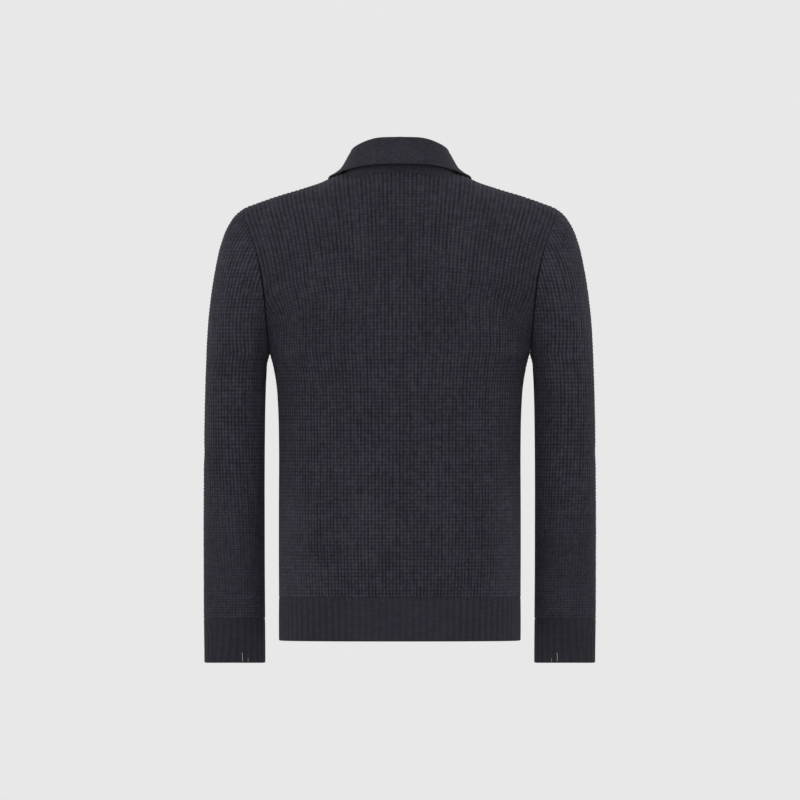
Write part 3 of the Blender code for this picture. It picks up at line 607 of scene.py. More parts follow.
def off_body(point, clear):
    """The point, moved straight out of the body's face where it lies closer than clear."""
    x, y, z = point
    step = 0.001
    slope_x = (body_z(x + step, y) - body_z(x - step, y)) / (2 * step)
    slope_y = (body_z(x, y + step) - body_z(x, y - step)) / (2 * step)
    out = np.array([-slope_x, -slope_y, 1.0])
    steep = np.linalg.norm(out)
    distance = (z - body_z(x, y)) / steep
    return np.array(point) + out / steep * max(0.0, clear - distance)


def collar_path(angle):
    """The collar's cross-section at an angle round the neck: root, stand, fold, leaf, free edge."""
    at = {name: float(curve(angle)) for name, curve in leaf_row.items()}
    fold, edge = (np.array([at[f"{place}_{axis}"] for axis in "xyz"]) for place in ("fold", "edge"))
    up = np.array([0.0, 0.0, 1.0])
    step = 2
    before, after = max(angle - step, 0), angle + step
    out = np.array([leaf_row["fold_y"](before) - leaf_row["fold_y"](after),
                    leaf_row["fold_x"](after) - leaf_row["fold_x"](before), 0.0])
    out /= np.linalg.norm(out)
    root = neck_point(angle) - out * COLLAR_WALL / 2
    centre = fold - up * (FOLD_RADIUS + COLLAR_WALL / 2)
    inside, outside = centre - out * FOLD_RADIUS, centre + out * FOLD_RADIUS
    path = [root + (inside - root) * t for t in np.arange(STAND_STEPS) / STAND_STEPS]
    for turn in np.linspace(0, math.pi, FOLD_STEPS + 1):
        path.append(centre + FOLD_RADIUS * (up * math.sin(turn) - out * math.cos(turn)))
    for t in np.arange(1, LEAF_STEPS + 1) / LEAF_STEPS:
        pull = 4 * at["hollow"] * t**2 * (1 - t)
        leaf = outside + (edge - outside) * t - out * pull
        path.append(off_body(leaf, LEAF_CLEAR))
    return np.array(path)


# ------------ fine grids
def widened(grid):
    """The grid with one more row and column at each end, carried on evenly."""
    for axis in (0, 1):
        view = np.moveaxis(grid, axis, 0)
        view = np.concatenate([2 * view[:1] - view[1:2], view, 2 * view[-1:] - view[-2:-1]])
        grid = np.moveaxis(view, 0, axis)
    return grid


def grid_normals(grid, tube=False):
    """Unit normals of a grid of points, carried on evenly at its edges or round a tube."""
    if tube:
        grid = np.concatenate([grid[:, -2:-1], grid, grid[:, 1:2]], axis=1)
        return grid_normals(grid)[:, 1:-1]
    cells = np.cross(grid[1:, 1:] - grid[:-1, :-1], grid[1:, :-1] - grid[:-1, 1:])
    cells = widened(unit(cells))
    return unit(cells[1:, 1:] + cells[1:, :-1] + cells[:-1, 1:] + cells[:-1, :-1])


def outward(normal, axis, way=1):
    """1 if a grid's normals point out of the cloth, which is this way, and -1 if into it."""
    return 1.0 if normal[PROBE_ROW, normal.shape[1] // 2, axis] * way > 0 else -1.0


def cubic_weights(t):
    return [((2 - t) * t - 1) * t / 2, ((3 * t - 5) * t * t + 2) / 2,
            ((4 - 3 * t) * t + 1) * t / 2, (t - 1) * t * t / 2]


def cell_of(at, count):
    """The cell that a place among so many points lies in, and how far along it."""
    cell = np.clip(np.floor(at).astype(int), 0, count - 2)
    return cell, at - cell


def in_rows(table, at):
    """The values between a table's columns at these places, row by row."""
    left, part = cell_of(at, table.shape[1])
    line = np.arange(len(table))[:, None]
    return table[line, left] * (1 - part) + table[line, left + 1] * part


def spread(grid, rows, columns):
    """The grid's values at fractional rows and columns, on a smooth surface through its points."""
    wide = widened(grid)
    r, down = cell_of(rows, grid.shape[0])
    c, across = cell_of(columns, grid.shape[1])
    down, across = cubic_weights(down), cubic_weights(across)
    total = 0
    for i in range(4):
        for j in range(4):
            total = total + (down[i] * across[j])[..., None] * wide[r + i, c + j]
    return total


def surface(grid, rows, columns, tube=False):
    """The points of that surface and its unit normals."""
    normal = unit(spread(grid_normals(grid, tube), rows, columns))
    return spread(grid, rows, columns), normal


def pull_in(grid, rows=(0, 0), columns=(0, 0)):
    """The grid with these edges (first, last) moved into it by that distance."""
    grid = grid.copy()
    for axis, pair in ((0, rows), (1, columns)):
        view = np.moveaxis(grid, axis, 0)
        for here, near, distance in ((0, 1, pair[0]), (-1, -2, pair[1])):
            way = view[near] - view[here]
            length = np.linalg.norm(way, axis=1, keepdims=True)
            view[here] += way / np.maximum(length, NEARLY) * distance
    return grid


# ------------ the knit on its grid
# A piece of knit: its points and normals, its rib and course numbers, the distance to its nearest
# edge, how deep its rib grooves and its seams are, with painted shade in both, and its painted
# shading: how much painted shade darkens it at each point, or painted light where below 0.
Knit = namedtuple("Knit", "point normal rib course edge grooves seam dim")


def lay_knit(control, places, course, ribs, count, two_sided):
    """The knit's points on a control grid.

    places gives each control column's place, 0 in the middle and 1 at the edge; count is the
    number of ribs between them by height, and ribs the most there are. Where the cloth ends
    before a rib or a course does, its points lie on the seam.
    """
    length = running(strides(control))
    total = math.ceil(length[-1].max() / course)
    levels = np.arange(total * ROW_POINTS + 1) / ROW_POINTS
    up = levels[:, None] * course
    index = np.arange(control.shape[0])
    table = np.stack([np.interp(levels * course, length[:, c], index)
                      for c in range(control.shape[1])], axis=1)
    low = -ribs if two_sided else 0
    rib = np.arange(low * RIB_POINTS, ribs * RIB_POINTS + 1) / RIB_POINTS
    here = count(levels * course)[:, None]
    place = np.clip(rib[None] / here, -1, 1)
    column_at = np.interp(place, places, np.arange(len(places)))
    ends = np.interp(column_at, np.arange(len(places)), length[-1])
    point, normal = surface(control, in_rows(table, column_at), column_at)
    rib_width = strides(point, 1).max() * RIB_POINTS
    aside = (here - np.abs(rib[None])) * rib_width
    above = ends - up
    edge = np.clip(np.minimum(np.minimum(aside, above), up), 0, None)
    out, z = np.abs(point[..., 0]), point[..., 2]
    top_seam = QUIET_SEAM * (ends < length[-1].max())
    seam = np.where(above < aside, top_seam, armhole_seam(z))
    calm = ramp(out, *CALM_ASIDE) * ramp(-z, *CALM_BELOW)
    # Painted shade: darker up the body and at its sides below the armholes.
    dim = DIM_HIGH_PART * ramp(z, *DIM_HIGH)
    dim = dim + DIM_ASIDE_PART * ramp(out, *DIM_ASIDE) * (z < UNDERARM_Z)
    rib, course = np.broadcast_arrays(rib[None], levels[:, None])
    return Knit(point, normal, rib, course, edge, 1 - CALM * calm, seam, dim)


def armhole_seam(z):
    """How marked the seam along the armhole is, in its dip and its painted shade: faint at the
    shoulder, a crease with dark painted shade below it.
    """
    low = ramp(-z, *MARKED_SEAM)
    return QUIET_SEAM + (1 - QUIET_SEAM) * low * (z > UNDERARM_Z - SEAM_ROOM)


def lay_sleeve(control):
    """The sleeve's knit: upright ribs side by side from its outer line, cut off by the armhole."""
    outer = spread(control, np.linspace(0, control.shape[0] - 1, FINE_POINTS),
                   np.full(FINE_POINTS, (control.shape[1] - 1) / 2))
    z_outer = np.maximum.accumulate(outer[:, 2])
    middle_z = (outer[1:, 2] + outer[:-1, 2]) / 2
    courses = running(strides(outer) / course_pitch(middle_z))
    levels = np.append(np.arange(0, courses[-1], 1 / ROW_POINTS), courses[-1])
    sides = [sleeve_side(control, levels, np.interp(levels, courses, z_outer), way_round)
             for way_round in (-1, 1)]
    knit = Knit(*(np.concatenate([front[:, :0:-1], back], axis=1) for front, back in zip(*sides)))
    to_cuff = (knit.course - levels[0]) * CUFF_COURSE
    return knit._replace(edge=np.clip(np.minimum(knit.edge, to_cuff), 0, None))


def sleeve_side(control, levels, heights, way_round):
    """Half of the sleeve's knit, from its outer line round its back (1) or its front (-1)."""
    middle = (control.shape[1] - 1) / 2
    turns = np.linspace(0, 1, TURN_POINTS)
    rows = np.linspace(0, control.shape[0] - 1, FINE_POINTS)
    row_grid, turn_grid = np.meshgrid(rows, turns, indexing="ij")
    z = spread(control, row_grid, middle + way_round * middle * turn_grid)[..., 2]
    z = np.maximum.accumulate(z, axis=0)
    row_of = np.stack([np.interp(heights, z[:, j], rows) for j in range(len(turns))], axis=1)
    tops = np.minimum.accumulate(z[-1])
    last_turn = np.interp(-heights, -tops, turns)

    def place(turn):
        row = in_rows(row_of, np.clip(turn, 0, 1) * (len(turns) - 1))
        return row, middle + way_round * middle * turn

    turn = np.linspace(0, 1, SLICE_POINTS)[None] * last_turn[:, None]
    along = running(strides(spread(control, *place(turn)), 1), 1)
    below = heights < UNDERARM_Z
    wide = ramp(heights, *WIDENING)
    pitch = along[:, -1] / (WRIST_RIBS + (SLEEVE_RIBS - WRIST_RIBS) * wide)
    pitch = np.where(below, pitch, pitch[below][-1])
    rib = np.arange(SLEEVE_RIBS * RIB_POINTS + 1) / RIB_POINTS
    distance = pitch[:, None] * rib[None]
    turn = np.stack([np.interp(d, a, t) for d, a, t in zip(distance, along, turn)])
    point, normal = surface(control, *place(turn), tube=True)
    # Painted shade darkens the sleeve's outer side low down and painted light brightens its inner
    # side, over the painted shading by height.
    low = DIM_ARM_PART * ramp(-heights, *DIM_ARM)[:, None]
    dim = sleeve_painted_shading(heights)[:, None] + low * np.cos(math.pi * rib[None] * way_round / SLEEVE_RIBS)
    rib, course, grooves, seam = np.broadcast_arrays(
        rib[None] * way_round, levels[:, None], rib_grooves(heights)[:, None],
        armhole_seam(heights)[:, None])
    return Knit(point, normal, rib, course, along[:, -1:] - distance, grooves, seam, dim)


def uneven(line, along, seed, every):
    """A slowly changing random value from -1 to 1 along each line of the knit."""
    line = np.round(line).astype(int)
    line = line - line.min()
    at = (along - along.min()) / every
    low = np.floor(at).astype(int)
    values = np.random.default_rng(seed).uniform(-1, 1, (line.max() + 1, low.max() + 2))
    part = smooth_step(at - low)
    return values[line, low] * (1 - part) + values[line, low + 1] * part


def groove_weight(line, along, seed, how):
    """How deep the groove is along each line, beside 1 for an even one."""
    slow = uneven(line, along, seed, how.every)
    quick = uneven(line, along, seed + 1, 1.0)
    return 1 + how.slow * slow + how.quick * quick


def waffle(knit, seed):
    """The relief of the waffle knit: its height over the form, and its painted shade: in the
    grooves, in seam creases, and the piece's painted shading by place.
    """
    rib = rib_form(knit.rib, 2)
    between_courses = between(knit.course)
    rib_weight = groove_weight(knit.rib, knit.course, seed, RIB_UNEVEN) * knit.grooves
    course_weight = groove_weight(knit.course, knit.rib, seed + 2, COURSE_UNEVEN)
    dent = between_courses * (COURSE_IN_GROOVE + (1 - COURSE_IN_GROOVE) * rib) * course_weight
    fade = smooth_step(knit.edge / EDGE_FADE)
    height = -(GROOVE_DEPTH * (1 - rib) * rib_weight + COURSE_DEPTH * dent) * fade
    height = height + KNIT_LIFT - SEAM_SINK * (1 - fade) * knit.seam
    # Painted shade: darker between ribs and between courses, in seam creases, and by the piece's
    # painted shading.
    light = 1 - RIB_SHADE * np.clip(between(knit.rib) * rib_weight, 0, DARKEST)
    faint = 1 - FAINT_PART * ramp(knit.point[..., 2], *FAINT_COURSES)
    course_painted_shade = COURSE_SHADE * between_courses * course_weight * (1 + knit.grooves) / 2 * faint
    crease = knit.seam * (1 - smooth_step(knit.edge / SEAM_WIDTH))
    light = np.clip(light * (1 - course_painted_shade) * (1 - knit.dim), 0, 1)
    return height, 1 - light * (1 - crease)


# ------------ folds
Fold = namedtuple("Fold", "x z lean long wide deep")
BACK_FOLDS = [
    Fold(0.168, -0.205, 12, 0.050, 0.010, -0.0030),
    Fold(-0.166, -0.210, -14, 0.055, 0.010, -0.0032),
    Fold(0.140, -0.290, 35, 0.045, 0.014, -0.0016),
    Fold(-0.138, -0.300, -30, 0.050, 0.014, -0.0018),
    Fold(0.060, -0.560, 82, 0.060, 0.010, -0.0014),
    Fold(-0.085, -0.552, 96, 0.070, 0.011, -0.0016),
    Fold(0.150, -0.540, 80, 0.040, 0.010, -0.0018),
    Fold(0.000, -0.420, 4, 0.120, 0.030, -0.0014),
    Fold(0.050, -0.110, 8, 0.070, 0.022, -0.0012),
    Fold(-0.055, -0.115, -6, 0.070, 0.022, -0.0012),
]
FRONT_FOLDS = [
    Fold(0.150, -0.200, 16, 0.060, 0.012, -0.0036),
    Fold(-0.148, -0.206, -18, 0.055, 0.012, -0.0034),
    Fold(0.120, -0.300, 40, 0.050, 0.014, -0.0022),
    Fold(-0.118, -0.290, -44, 0.050, 0.014, -0.0020),
    Fold(0.060, -0.555, 84, 0.050, 0.010, -0.0018),
    Fold(-0.065, -0.548, 94, 0.050, 0.010, -0.0018),
    Fold(0.085, -0.430, 6, 0.110, 0.022, -0.0016),
    Fold(-0.090, -0.450, -4, 0.110, 0.022, -0.0016),
]
# On a sleeve x is the way round from the outer line towards the back.
SLEEVE_FOLDS = [
    Fold(0.095, -0.560, 86, 0.032, 0.007, -0.0020),
    Fold(0.070, -0.590, 95, 0.028, 0.006, -0.0018),
    Fold(-0.075, -0.575, 84, 0.034, 0.007, -0.0024),
    Fold(-0.100, -0.600, 93, 0.035, 0.006, -0.0022),
    Fold(-0.050, -0.420, 70, 0.050, 0.010, -0.0030),
    Fold(-0.100, -0.445, 96, 0.050, 0.009, -0.0028),
    Fold(0.130, -0.300, 60, 0.050, 0.011, -0.0030),
    Fold(-0.120, -0.300, -56, 0.050, 0.011, -0.0030),
]
FOLD_BEND = 0.15


def pressed(x, z, folds):
    """How far the folds press the cloth in or out at places x, z."""
    total = 0
    for fold in folds:
        lean = math.radians(fold.lean)
        dx, dz = x - fold.x, z - fold.z
        along = dx * math.sin(lean) + dz * math.cos(lean)
        aside = dx * math.cos(lean) - dz * math.sin(lean)
        bend = FOLD_BEND * along**2 / fold.long
        away = ((aside + bend) / fold.wide) ** 2 + (along / fold.long) ** 2
        total = total + fold.deep * np.exp(-away)
    return total


# ------------ meshes
def linked(name, data):
    obj = bpy.data.objects.new(name, data)
    bpy.context.scene.collection.objects.link(obj)
    return obj


def plain_mesh(name, points, faces, finish, sharp=SHARP):
    """A smooth object with edges where its faces meet at more than so many degrees."""
    mesh = bpy.data.meshes.new(name)
    mesh.from_pydata(np.asarray(points, float).tolist(), [], faces)
    mesh.shade_smooth()
    mesh.set_sharp_from_angle(angle=math.radians(sharp))
    mesh.materials.append(finish)
    return linked(name, mesh)


def quads_of(index):
    corners = [index[:-1, :-1], index[:-1, 1:], index[1:, 1:], index[1:, :-1]]
    return np.stack(corners, -1).reshape(-1, 4)


def thinned(count, step):
    return np.unique(np.append(np.arange(0, count, step), count - 1))


def sparse_faces(index, few_rows, few_columns, tube):
    """Faces of the sparser inner side, which has all the points of its open edges."""
    rows, columns = index.shape
    faces = []
    for r, r_next in zip(few_rows, few_rows[1:]):
        for c, c_next in zip(few_columns, few_columns[1:]):
            low = index[r, c:c_next + 1:1 if r == 0 else c_next - c]
            high = index[r_next, c:c_next + 1:1 if r_next == rows - 1 else c_next - c]
            left = index[r + 1:r_next, c] if c == 0 and r >= tube else []
            right = index[r + 1:r_next, c_next] if c_next == columns - 1 and r >= tube else []
            faces.append([*left, *high, *right[::-1], *low[::-1]])
    return faces


def shell(name, outer, inner, across, up, shade, finish, turned, side=1, step=6, tube=0):
    """A closed thin shell: its outer points, its inner ones step times sparser, and its rim.

    turned is -1 where the grid's own faces look inward, and side -1 makes the mirror image.
    Inner points along the rim lie on the sparse ones' lines, so that the shell has no slits. In
    rows up to number tube, the first and the last column are one.
    """
    if side < 0:
        outer, inner = outer * MIRROR, inner * MIRROR
    rows, columns = outer.shape[:2]
    front = np.arange(rows * columns).reshape(rows, columns)
    back = front + rows * columns
    few_rows, few_columns = np.union1d(thinned(rows, step), tube), thinned(columns, step)
    inner = inner.copy()
    for edge in (0, -1):
        for k in range(3):
            column = inner[few_rows, edge, k].copy()
            row = inner[edge, few_columns, k].copy()
            inner[:, edge, k] = np.interp(np.arange(rows), few_rows, column)
            inner[edge, :, k] = np.interp(np.arange(columns), few_columns, row)
    rim = [(front[0, 1:], front[0, :-1], back[0, :-1], back[0, 1:]),
           (front[-1, :-1], front[-1, 1:], back[-1, 1:], back[-1, :-1])]
    here, above = slice(tube, -1), slice(tube + 1, None)
    rim += [(front[here, 0], front[above, 0], back[above, 0], back[here, 0]),
            (front[above, -1], front[here, -1], back[here, -1], back[above, -1])]
    faces = np.concatenate([quads_of(front)] + [np.stack(edge, -1) for edge in rim]).tolist()
    faces += sparse_faces(back, few_rows, few_columns, tube)
    if turned * side < 0:
        faces = [face[::-1] for face in faces]
    points = np.concatenate([outer.reshape(-1, 3), inner.reshape(-1, 3)])
    uv = np.stack(np.broadcast_arrays(across, up), -1).reshape(-1, 2)
    return knit_mesh(name, points, faces, uv, shade.reshape(-1), finish)


def knit_mesh(name, points, faces, uv, shade, finish):
    """A mesh whose equal points are one, with the knit's coordinates and its painted shade in the
    groove attribute.
    """
    keys = np.round(points / SAME_POINT).astype(np.int64)
    _, first, merged = np.unique(keys, axis=0, return_index=True, return_inverse=True)
    merged = merged.reshape(-1).tolist()
    kept, corners = [], []
    for face in faces:
        ring, rows = [], []
        for k, corner in enumerate(face):
            if merged[corner] != merged[face[k - 1]]:
                ring.append(merged[corner])
                rows.append(corner)
        if len(ring) > 2 and len(set(ring)) == len(ring):
            kept.append(ring)
            corners.extend(rows)
    used = np.unique(np.concatenate([np.array(ring) for ring in kept]))
    renumber = np.zeros(len(first), int)
    renumber[used] = np.arange(len(used))
    kept = [[int(renumber[v]) for v in ring] for ring in kept]
    source = first[used]
    obj = plain_mesh(name, points[source], kept, finish)
    count = len(shade)
    layer = obj.data.uv_layers.new(name="knit")
    layer.data.foreach_set("uv", uv[np.array(corners) % count].astype(np.float32).reshape(-1))
    # The groove attribute holds the painted shade and light of each point; the inner side gets
    # INNER_SHADE.
    groove = obj.data.attributes.new("groove", "FLOAT", "POINT")
    depth = np.where(source < count, shade[source % count], INNER_SHADE)
    groove.data.foreach_set("value", depth.astype(np.float32))
    return obj


def put(obj, slot_name, *nodes):
    """Rides the piece on the garment, in place of these nodes."""
    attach(obj, "garment")
    if nodes:
        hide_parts(*nodes)


# ------------ materials
# The last field of a Yarn is how far the painted shade of the groove attribute pulls its colour
# towards the shade colour.
Yarn = namedtuple("Yarn", "dark light stitch_across stitch_up stitch_bump fuzz_bump groove_dark")
WAFFLE = Yarn((0.014, 0.0133, 0.0195), (0.107, 0.103, 0.141), 2.0, 2.0, 0.30, 0.35, 0.95)
BAND = Yarn((0.0120, 0.0115, 0.0160), (0.049, 0.047, 0.0625), 4.0, 1.0, 0.30, 0.30, 0.45)
COLLAR_YARN = Yarn((0.002, 0.002, 0.003), (0.071, 0.068, 0.092), 1.0, 1.0, 0.45, 0.40, 0.45)
VIOLET = (0.98, 0.96, 1.06)  # times the light yarn's colour
GREY = (1.02, 1.03, 0.94)
PAINTED_SHADE_TONE = 0.30  # the colour of the painted shade, times the dark yarn's colour


class Nodes:
    """A short way to write a node tree."""

    def __init__(self, name):
        self.material = bpy.data.materials.new(name)
        self.material.use_nodes = True
        self.tree = self.material.node_tree
        self.shader = self.tree.nodes["Principled BSDF"]

    def add(self, kind, settings=(), **inputs):
        node = self.tree.nodes.new(kind)
        for name, value in settings:
            setattr(node, name, value)
        for name, value in inputs.items():
            self.feed(node, name, value)
        return node

    def feed(self, node, name, value):
        key = int(name[1:]) if name[0] == "i" and name[1:].isdigit() else name.replace("_", " ")
        socket = node.inputs[key]
        if isinstance(value, bpy.types.NodeSocket):
            self.tree.links.new(value, socket)
        else:
            socket.default_value = value

    def finish(self, **inputs):
        """Sets the shader's own inputs and gives the material."""
        for name, value in inputs.items():
            self.feed(self.shader, name, value)
        return self.material

    def math(self, operation, *values):
        inputs = {f"i{k}": value for k, value in enumerate(values)}
        return self.add("ShaderNodeMath", [("operation", operation)], **inputs).outputs[0]

    def clamp(self, value):
        return self.add("ShaderNodeClamp", Value=value).outputs[0]

    def mix(self, factor, first, second):
        node = self.add("ShaderNodeMix", [("data_type", "RGBA")], i0=factor, i6=first, i7=second)
        return node.outputs[2]

    def bump(self, strength, distance, height, **normal):
        node = self.add("ShaderNodeBump", Strength=strength, Distance=distance, Height=height,
                        **normal)
        return node.outputs[0]

    def place(self):
        return self.add("ShaderNodeTexCoord").outputs["Object"]

    def knit_place(self):
        """The knit's own coordinates: both, across and up."""
        uv = self.add("ShaderNodeUVMap", [("uv_map", "knit")]).outputs[0]
        parts = self.add("ShaderNodeSeparateXYZ", Vector=uv)
        return uv, parts.outputs[0], parts.outputs[1]

    def noise(self, vector, scale, detail, roughness=0.55):
        node = self.add("ShaderNodeTexNoise", Vector=vector, Scale=scale, Detail=detail,
                        Roughness=roughness)
        return node.outputs[0]


def knit_material(name, yarn):
    """Matt knitted yarn: stitches by the knit's own coordinates, fuzz, and painted shade and light
    from the groove attribute, darkest in grooves and seam creases.
    """
    n = Nodes(name)
    uv, across, up = n.knit_place()
    place = n.place()
    across = n.math("MULTIPLY", across, yarn.stitch_across)
    up = n.math("MULTIPLY", up, yarn.stitch_up)
    wale = n.math("MULTIPLY", n.math("PINGPONG", across, 0.5), 2.0)
    lean = n.math("MULTIPLY", wale, 0.45)
    turn = n.math("MULTIPLY", n.math("ADD", up, lean), 2 * math.pi)
    strand = n.math("MULTIPLY_ADD", n.math("SINE", turn), 0.5, 0.5)
    leg = n.math("PINGPONG", wale, 0.5)
    stitch = n.math("MULTIPLY_ADD", strand, 0.6, n.math("MULTIPLY", leg, 0.8))
    fuzz = n.noise(place, 900.0, 6.0, 0.7)
    melange = n.noise(place, 420.0, 3.0)
    patch = n.noise(place, 45.0, 3.0)
    broad = n.noise(place, 14.0, 2.0)
    cell = n.add("ShaderNodeVectorMath", [("operation", "FLOOR")], i0=uv).outputs[0]
    chance = n.add("ShaderNodeTexWhiteNoise", [("noise_dimensions", "2D")], Vector=cell).outputs[0]
    groove = n.add("ShaderNodeAttribute", [("attribute_name", "groove")]).outputs["Fac"]
    tone = n.math("MULTIPLY_ADD", stitch, 0.25, n.math("MULTIPLY", melange, 0.40))
    for part, weight, base in ((fuzz, 0.40, -0.22), (chance, 0.16, -0.08), (broad, 0.24, -0.12)):
        tone = n.math("ADD", tone, n.math("MULTIPLY_ADD", part, weight, base))
    violet, grey = ((*(a * b for a, b in zip(yarn.light, hue)), 1.0) for hue in (VIOLET, GREY))
    hue = n.add("ShaderNodeMapRange", Value=patch, From_Min=0.35, From_Max=0.65).outputs[0]
    colour = n.mix(n.clamp(tone), (*yarn.dark, 1.0), n.mix(hue, violet, grey))
    # Painted shade: the colour darkens towards the shade colour as the groove attribute rises.
    groove_shade_part = n.math("MULTIPLY", groove, yarn.groove_dark)
    deep = [part * PAINTED_SHADE_TONE for part in yarn.dark]
    colour = n.mix(n.clamp(groove_shade_part), colour, (*deep, 1.0))
    coarse = n.bump(yarn.stitch_bump, 0.0006, stitch)
    return n.finish(
        Base_Color=colour, Normal=n.bump(yarn.fuzz_bump, 0.0004, fuzz, Normal=coarse),
        Roughness=n.math("MULTIPLY_ADD", fuzz, 0.12, 0.84), Specular_IOR_Level=0.12,
        Sheen_Weight=0.05, Sheen_Roughness=0.55, Sheen_Tint=(0.80, 0.80, 0.92, 1.0))


def tape_material():
    """Woven zip tape: a fine herringbone."""
    n = Nodes("zip_tape_weave")
    _, across, up = n.knit_place()
    turn = n.math("MULTIPLY", n.math("ADD", up, n.math("PINGPONG", across, 0.5)), 2 * math.pi)
    height = n.math("MULTIPLY_ADD", n.math("SINE", turn), 0.5, 0.5)
    fuzz = n.noise(n.place(), 1500.0, 4.0)
    tone = n.math("MULTIPLY_ADD", height, 0.5, n.math("MULTIPLY", fuzz, 0.5))
    return n.finish(
        Base_Color=n.mix(tone, (0.012, 0.012, 0.016, 1), (0.035, 0.034, 0.043, 1)),
        Normal=n.bump(0.5, 0.0002, height), Roughness=0.8, Specular_IOR_Level=0.25)


def metal_material():
    """Dark satin metal with faint scratches and lighter worn places."""
    n = Nodes("zip_metal_satin")
    place = n.place()
    worn = n.noise(place, 350.0, 4.0)
    scratch = n.noise(place, 2600.0, 3.0, 0.7)
    return n.finish(
        Base_Color=n.mix(worn, (0.045, 0.045, 0.050, 1), (0.115, 0.113, 0.116, 1)),
        Roughness=n.math("MULTIPLY_ADD", scratch, 0.22, 0.34),
        Normal=n.bump(0.15, 0.0001, scratch), Metallic=1.0)


def thread_material():
    n = Nodes("pale_thread")
    twist = n.noise(n.place(), 1800.0, 3.0)
    colour = n.mix(twist, (0.30, 0.29, 0.28, 1), (0.55, 0.54, 0.52, 1))
    return n.finish(Base_Color=colour, Roughness=0.8)


# ------------ knitted pieces
def body_count(length):
    """Ribs between the middle and the edge by the length up the panel."""
    return BODY_RIBS + (SHOULDER_RIBS - BODY_RIBS) * ramp(length, *NARROWING)


def dressed(knit, x, folds, seed, way_out):
    """Outer and inner points and groove shade of a knitted piece with its relief and folds."""
    height, shade = waffle(knit, seed)
    out = knit.normal * way_out
    fold = pressed(x, knit.point[..., 2], folds) * smooth_step(knit.edge / FOLD_FADE)
    form = knit.point + out * fold[..., None]
    return form + out * height[..., None], form - out * KNIT_WALL, shade


def make_back(finish):
    columns = body_columns()
    control = both_halves(panel_grid(1, columns, 0.0, False))
    places = np.concatenate([-columns[:0:-1], columns])
    control = pull_in(control, (0, SEAM_GAP / 3), (SEAM_GAP / 8, SEAM_GAP / 8))
    knit = lay_knit(control, places, BODY_COURSE, BODY_RIBS, body_count, True)
    way_out = outward(knit.normal, 1)
    outer, inner, shade = dressed(knit, knit.point[..., 0], BACK_FOLDS, BACK_SEED, way_out)
    obj = shell("back_knit", outer, inner, knit.rib, knit.course, shade, finish, way_out)
    put(obj, "waffle_knit", "back_panel")


def make_fronts(finish):
    columns = body_columns()
    control = panel_grid(-1, columns, ZIP_HALF, True)
    control = pull_in(control, (0, SHOULDER_GAP), (0, SEAM_GAP / 8))
    knit = lay_knit(control, columns, BODY_COURSE, BODY_RIBS, body_count, False)
    way_out = outward(knit.normal, 1, -1)
    for side, name in SIDES:
        outer, inner, shade = dressed(knit, side * knit.point[..., 0], FRONT_FOLDS,
                                      FRONT_SEED + side, way_out)
        inner[:, 0, 0] = outer[:, 0, 0]
        obj = shell(f"front_{name}_knit", outer, inner, knit.rib * side, knit.course, shade,
                    finish, way_out, side)
        put(obj, "waffle_knit", f"front_{name}")


def make_sleeves(finish):
    control = pull_in(sleeve_grid(), (0, SEAM_GAP / 4))
    knit = lay_sleeve(control)
    way_out = outward(knit.normal, 0)
    apart = np.abs(knit.point[:, 0] - knit.point[:, -1]).max(axis=1)
    tube = int(np.argmax(apart > 1e-5)) - 1
    for side, name in SIDES:
        outer, inner, shade = dressed(knit, knit.rib * ARM_RIB, SLEEVE_FOLDS,
                                      SLEEVE_SEED + side, way_out)
        obj = shell(f"sleeve_{name}_knit", outer, inner, knit.rib * side, knit.course, shade,
                    finish, way_out, side, tube=tube)
        put(obj, "waffle_knit", *(f"sleeve_{name}_{part}" for part in SLEEVE_PARTS))


# ------------ hem and cuffs
def band_rows(top, bottom):
    """Heights up a ribbed band, close together where its free edge is rounded."""
    body = np.linspace(top, bottom + BAND_ROUND, BAND_ROWS)
    return np.concatenate([body, bottom + BAND_ROUND * BAND_EDGE_ROWS])[::-1]


def ribbed(face, out, rib, z, top, bottom, relief, dark):
    """Outer and inner points and groove shade of a ribbed band whose free edge is rounded."""
    near_top = smooth_step((top - z) / BAND_TOP)
    thick = rounded(np.clip((z - bottom) / BAND_ROUND, 0, 1))
    form = 1 - relief + relief * rib_form(rib, BAND_POWER)
    lift = (RIB_HEIGHT + BAND_LIFT) * form * (TOP_LIFT + (1 - TOP_LIFT) * near_top) * thick
    middle = face - out * (RIB_HEIGHT + RIB_WALL / 2)
    outer = middle + out * (RIB_WALL / 2 * thick + lift)[..., None]
    inner = middle - out * (RIB_WALL / 2 * thick)[..., None]
    return outer, inner, between(rib) * dark * near_top + TOP_SHADE * (1 - near_top)


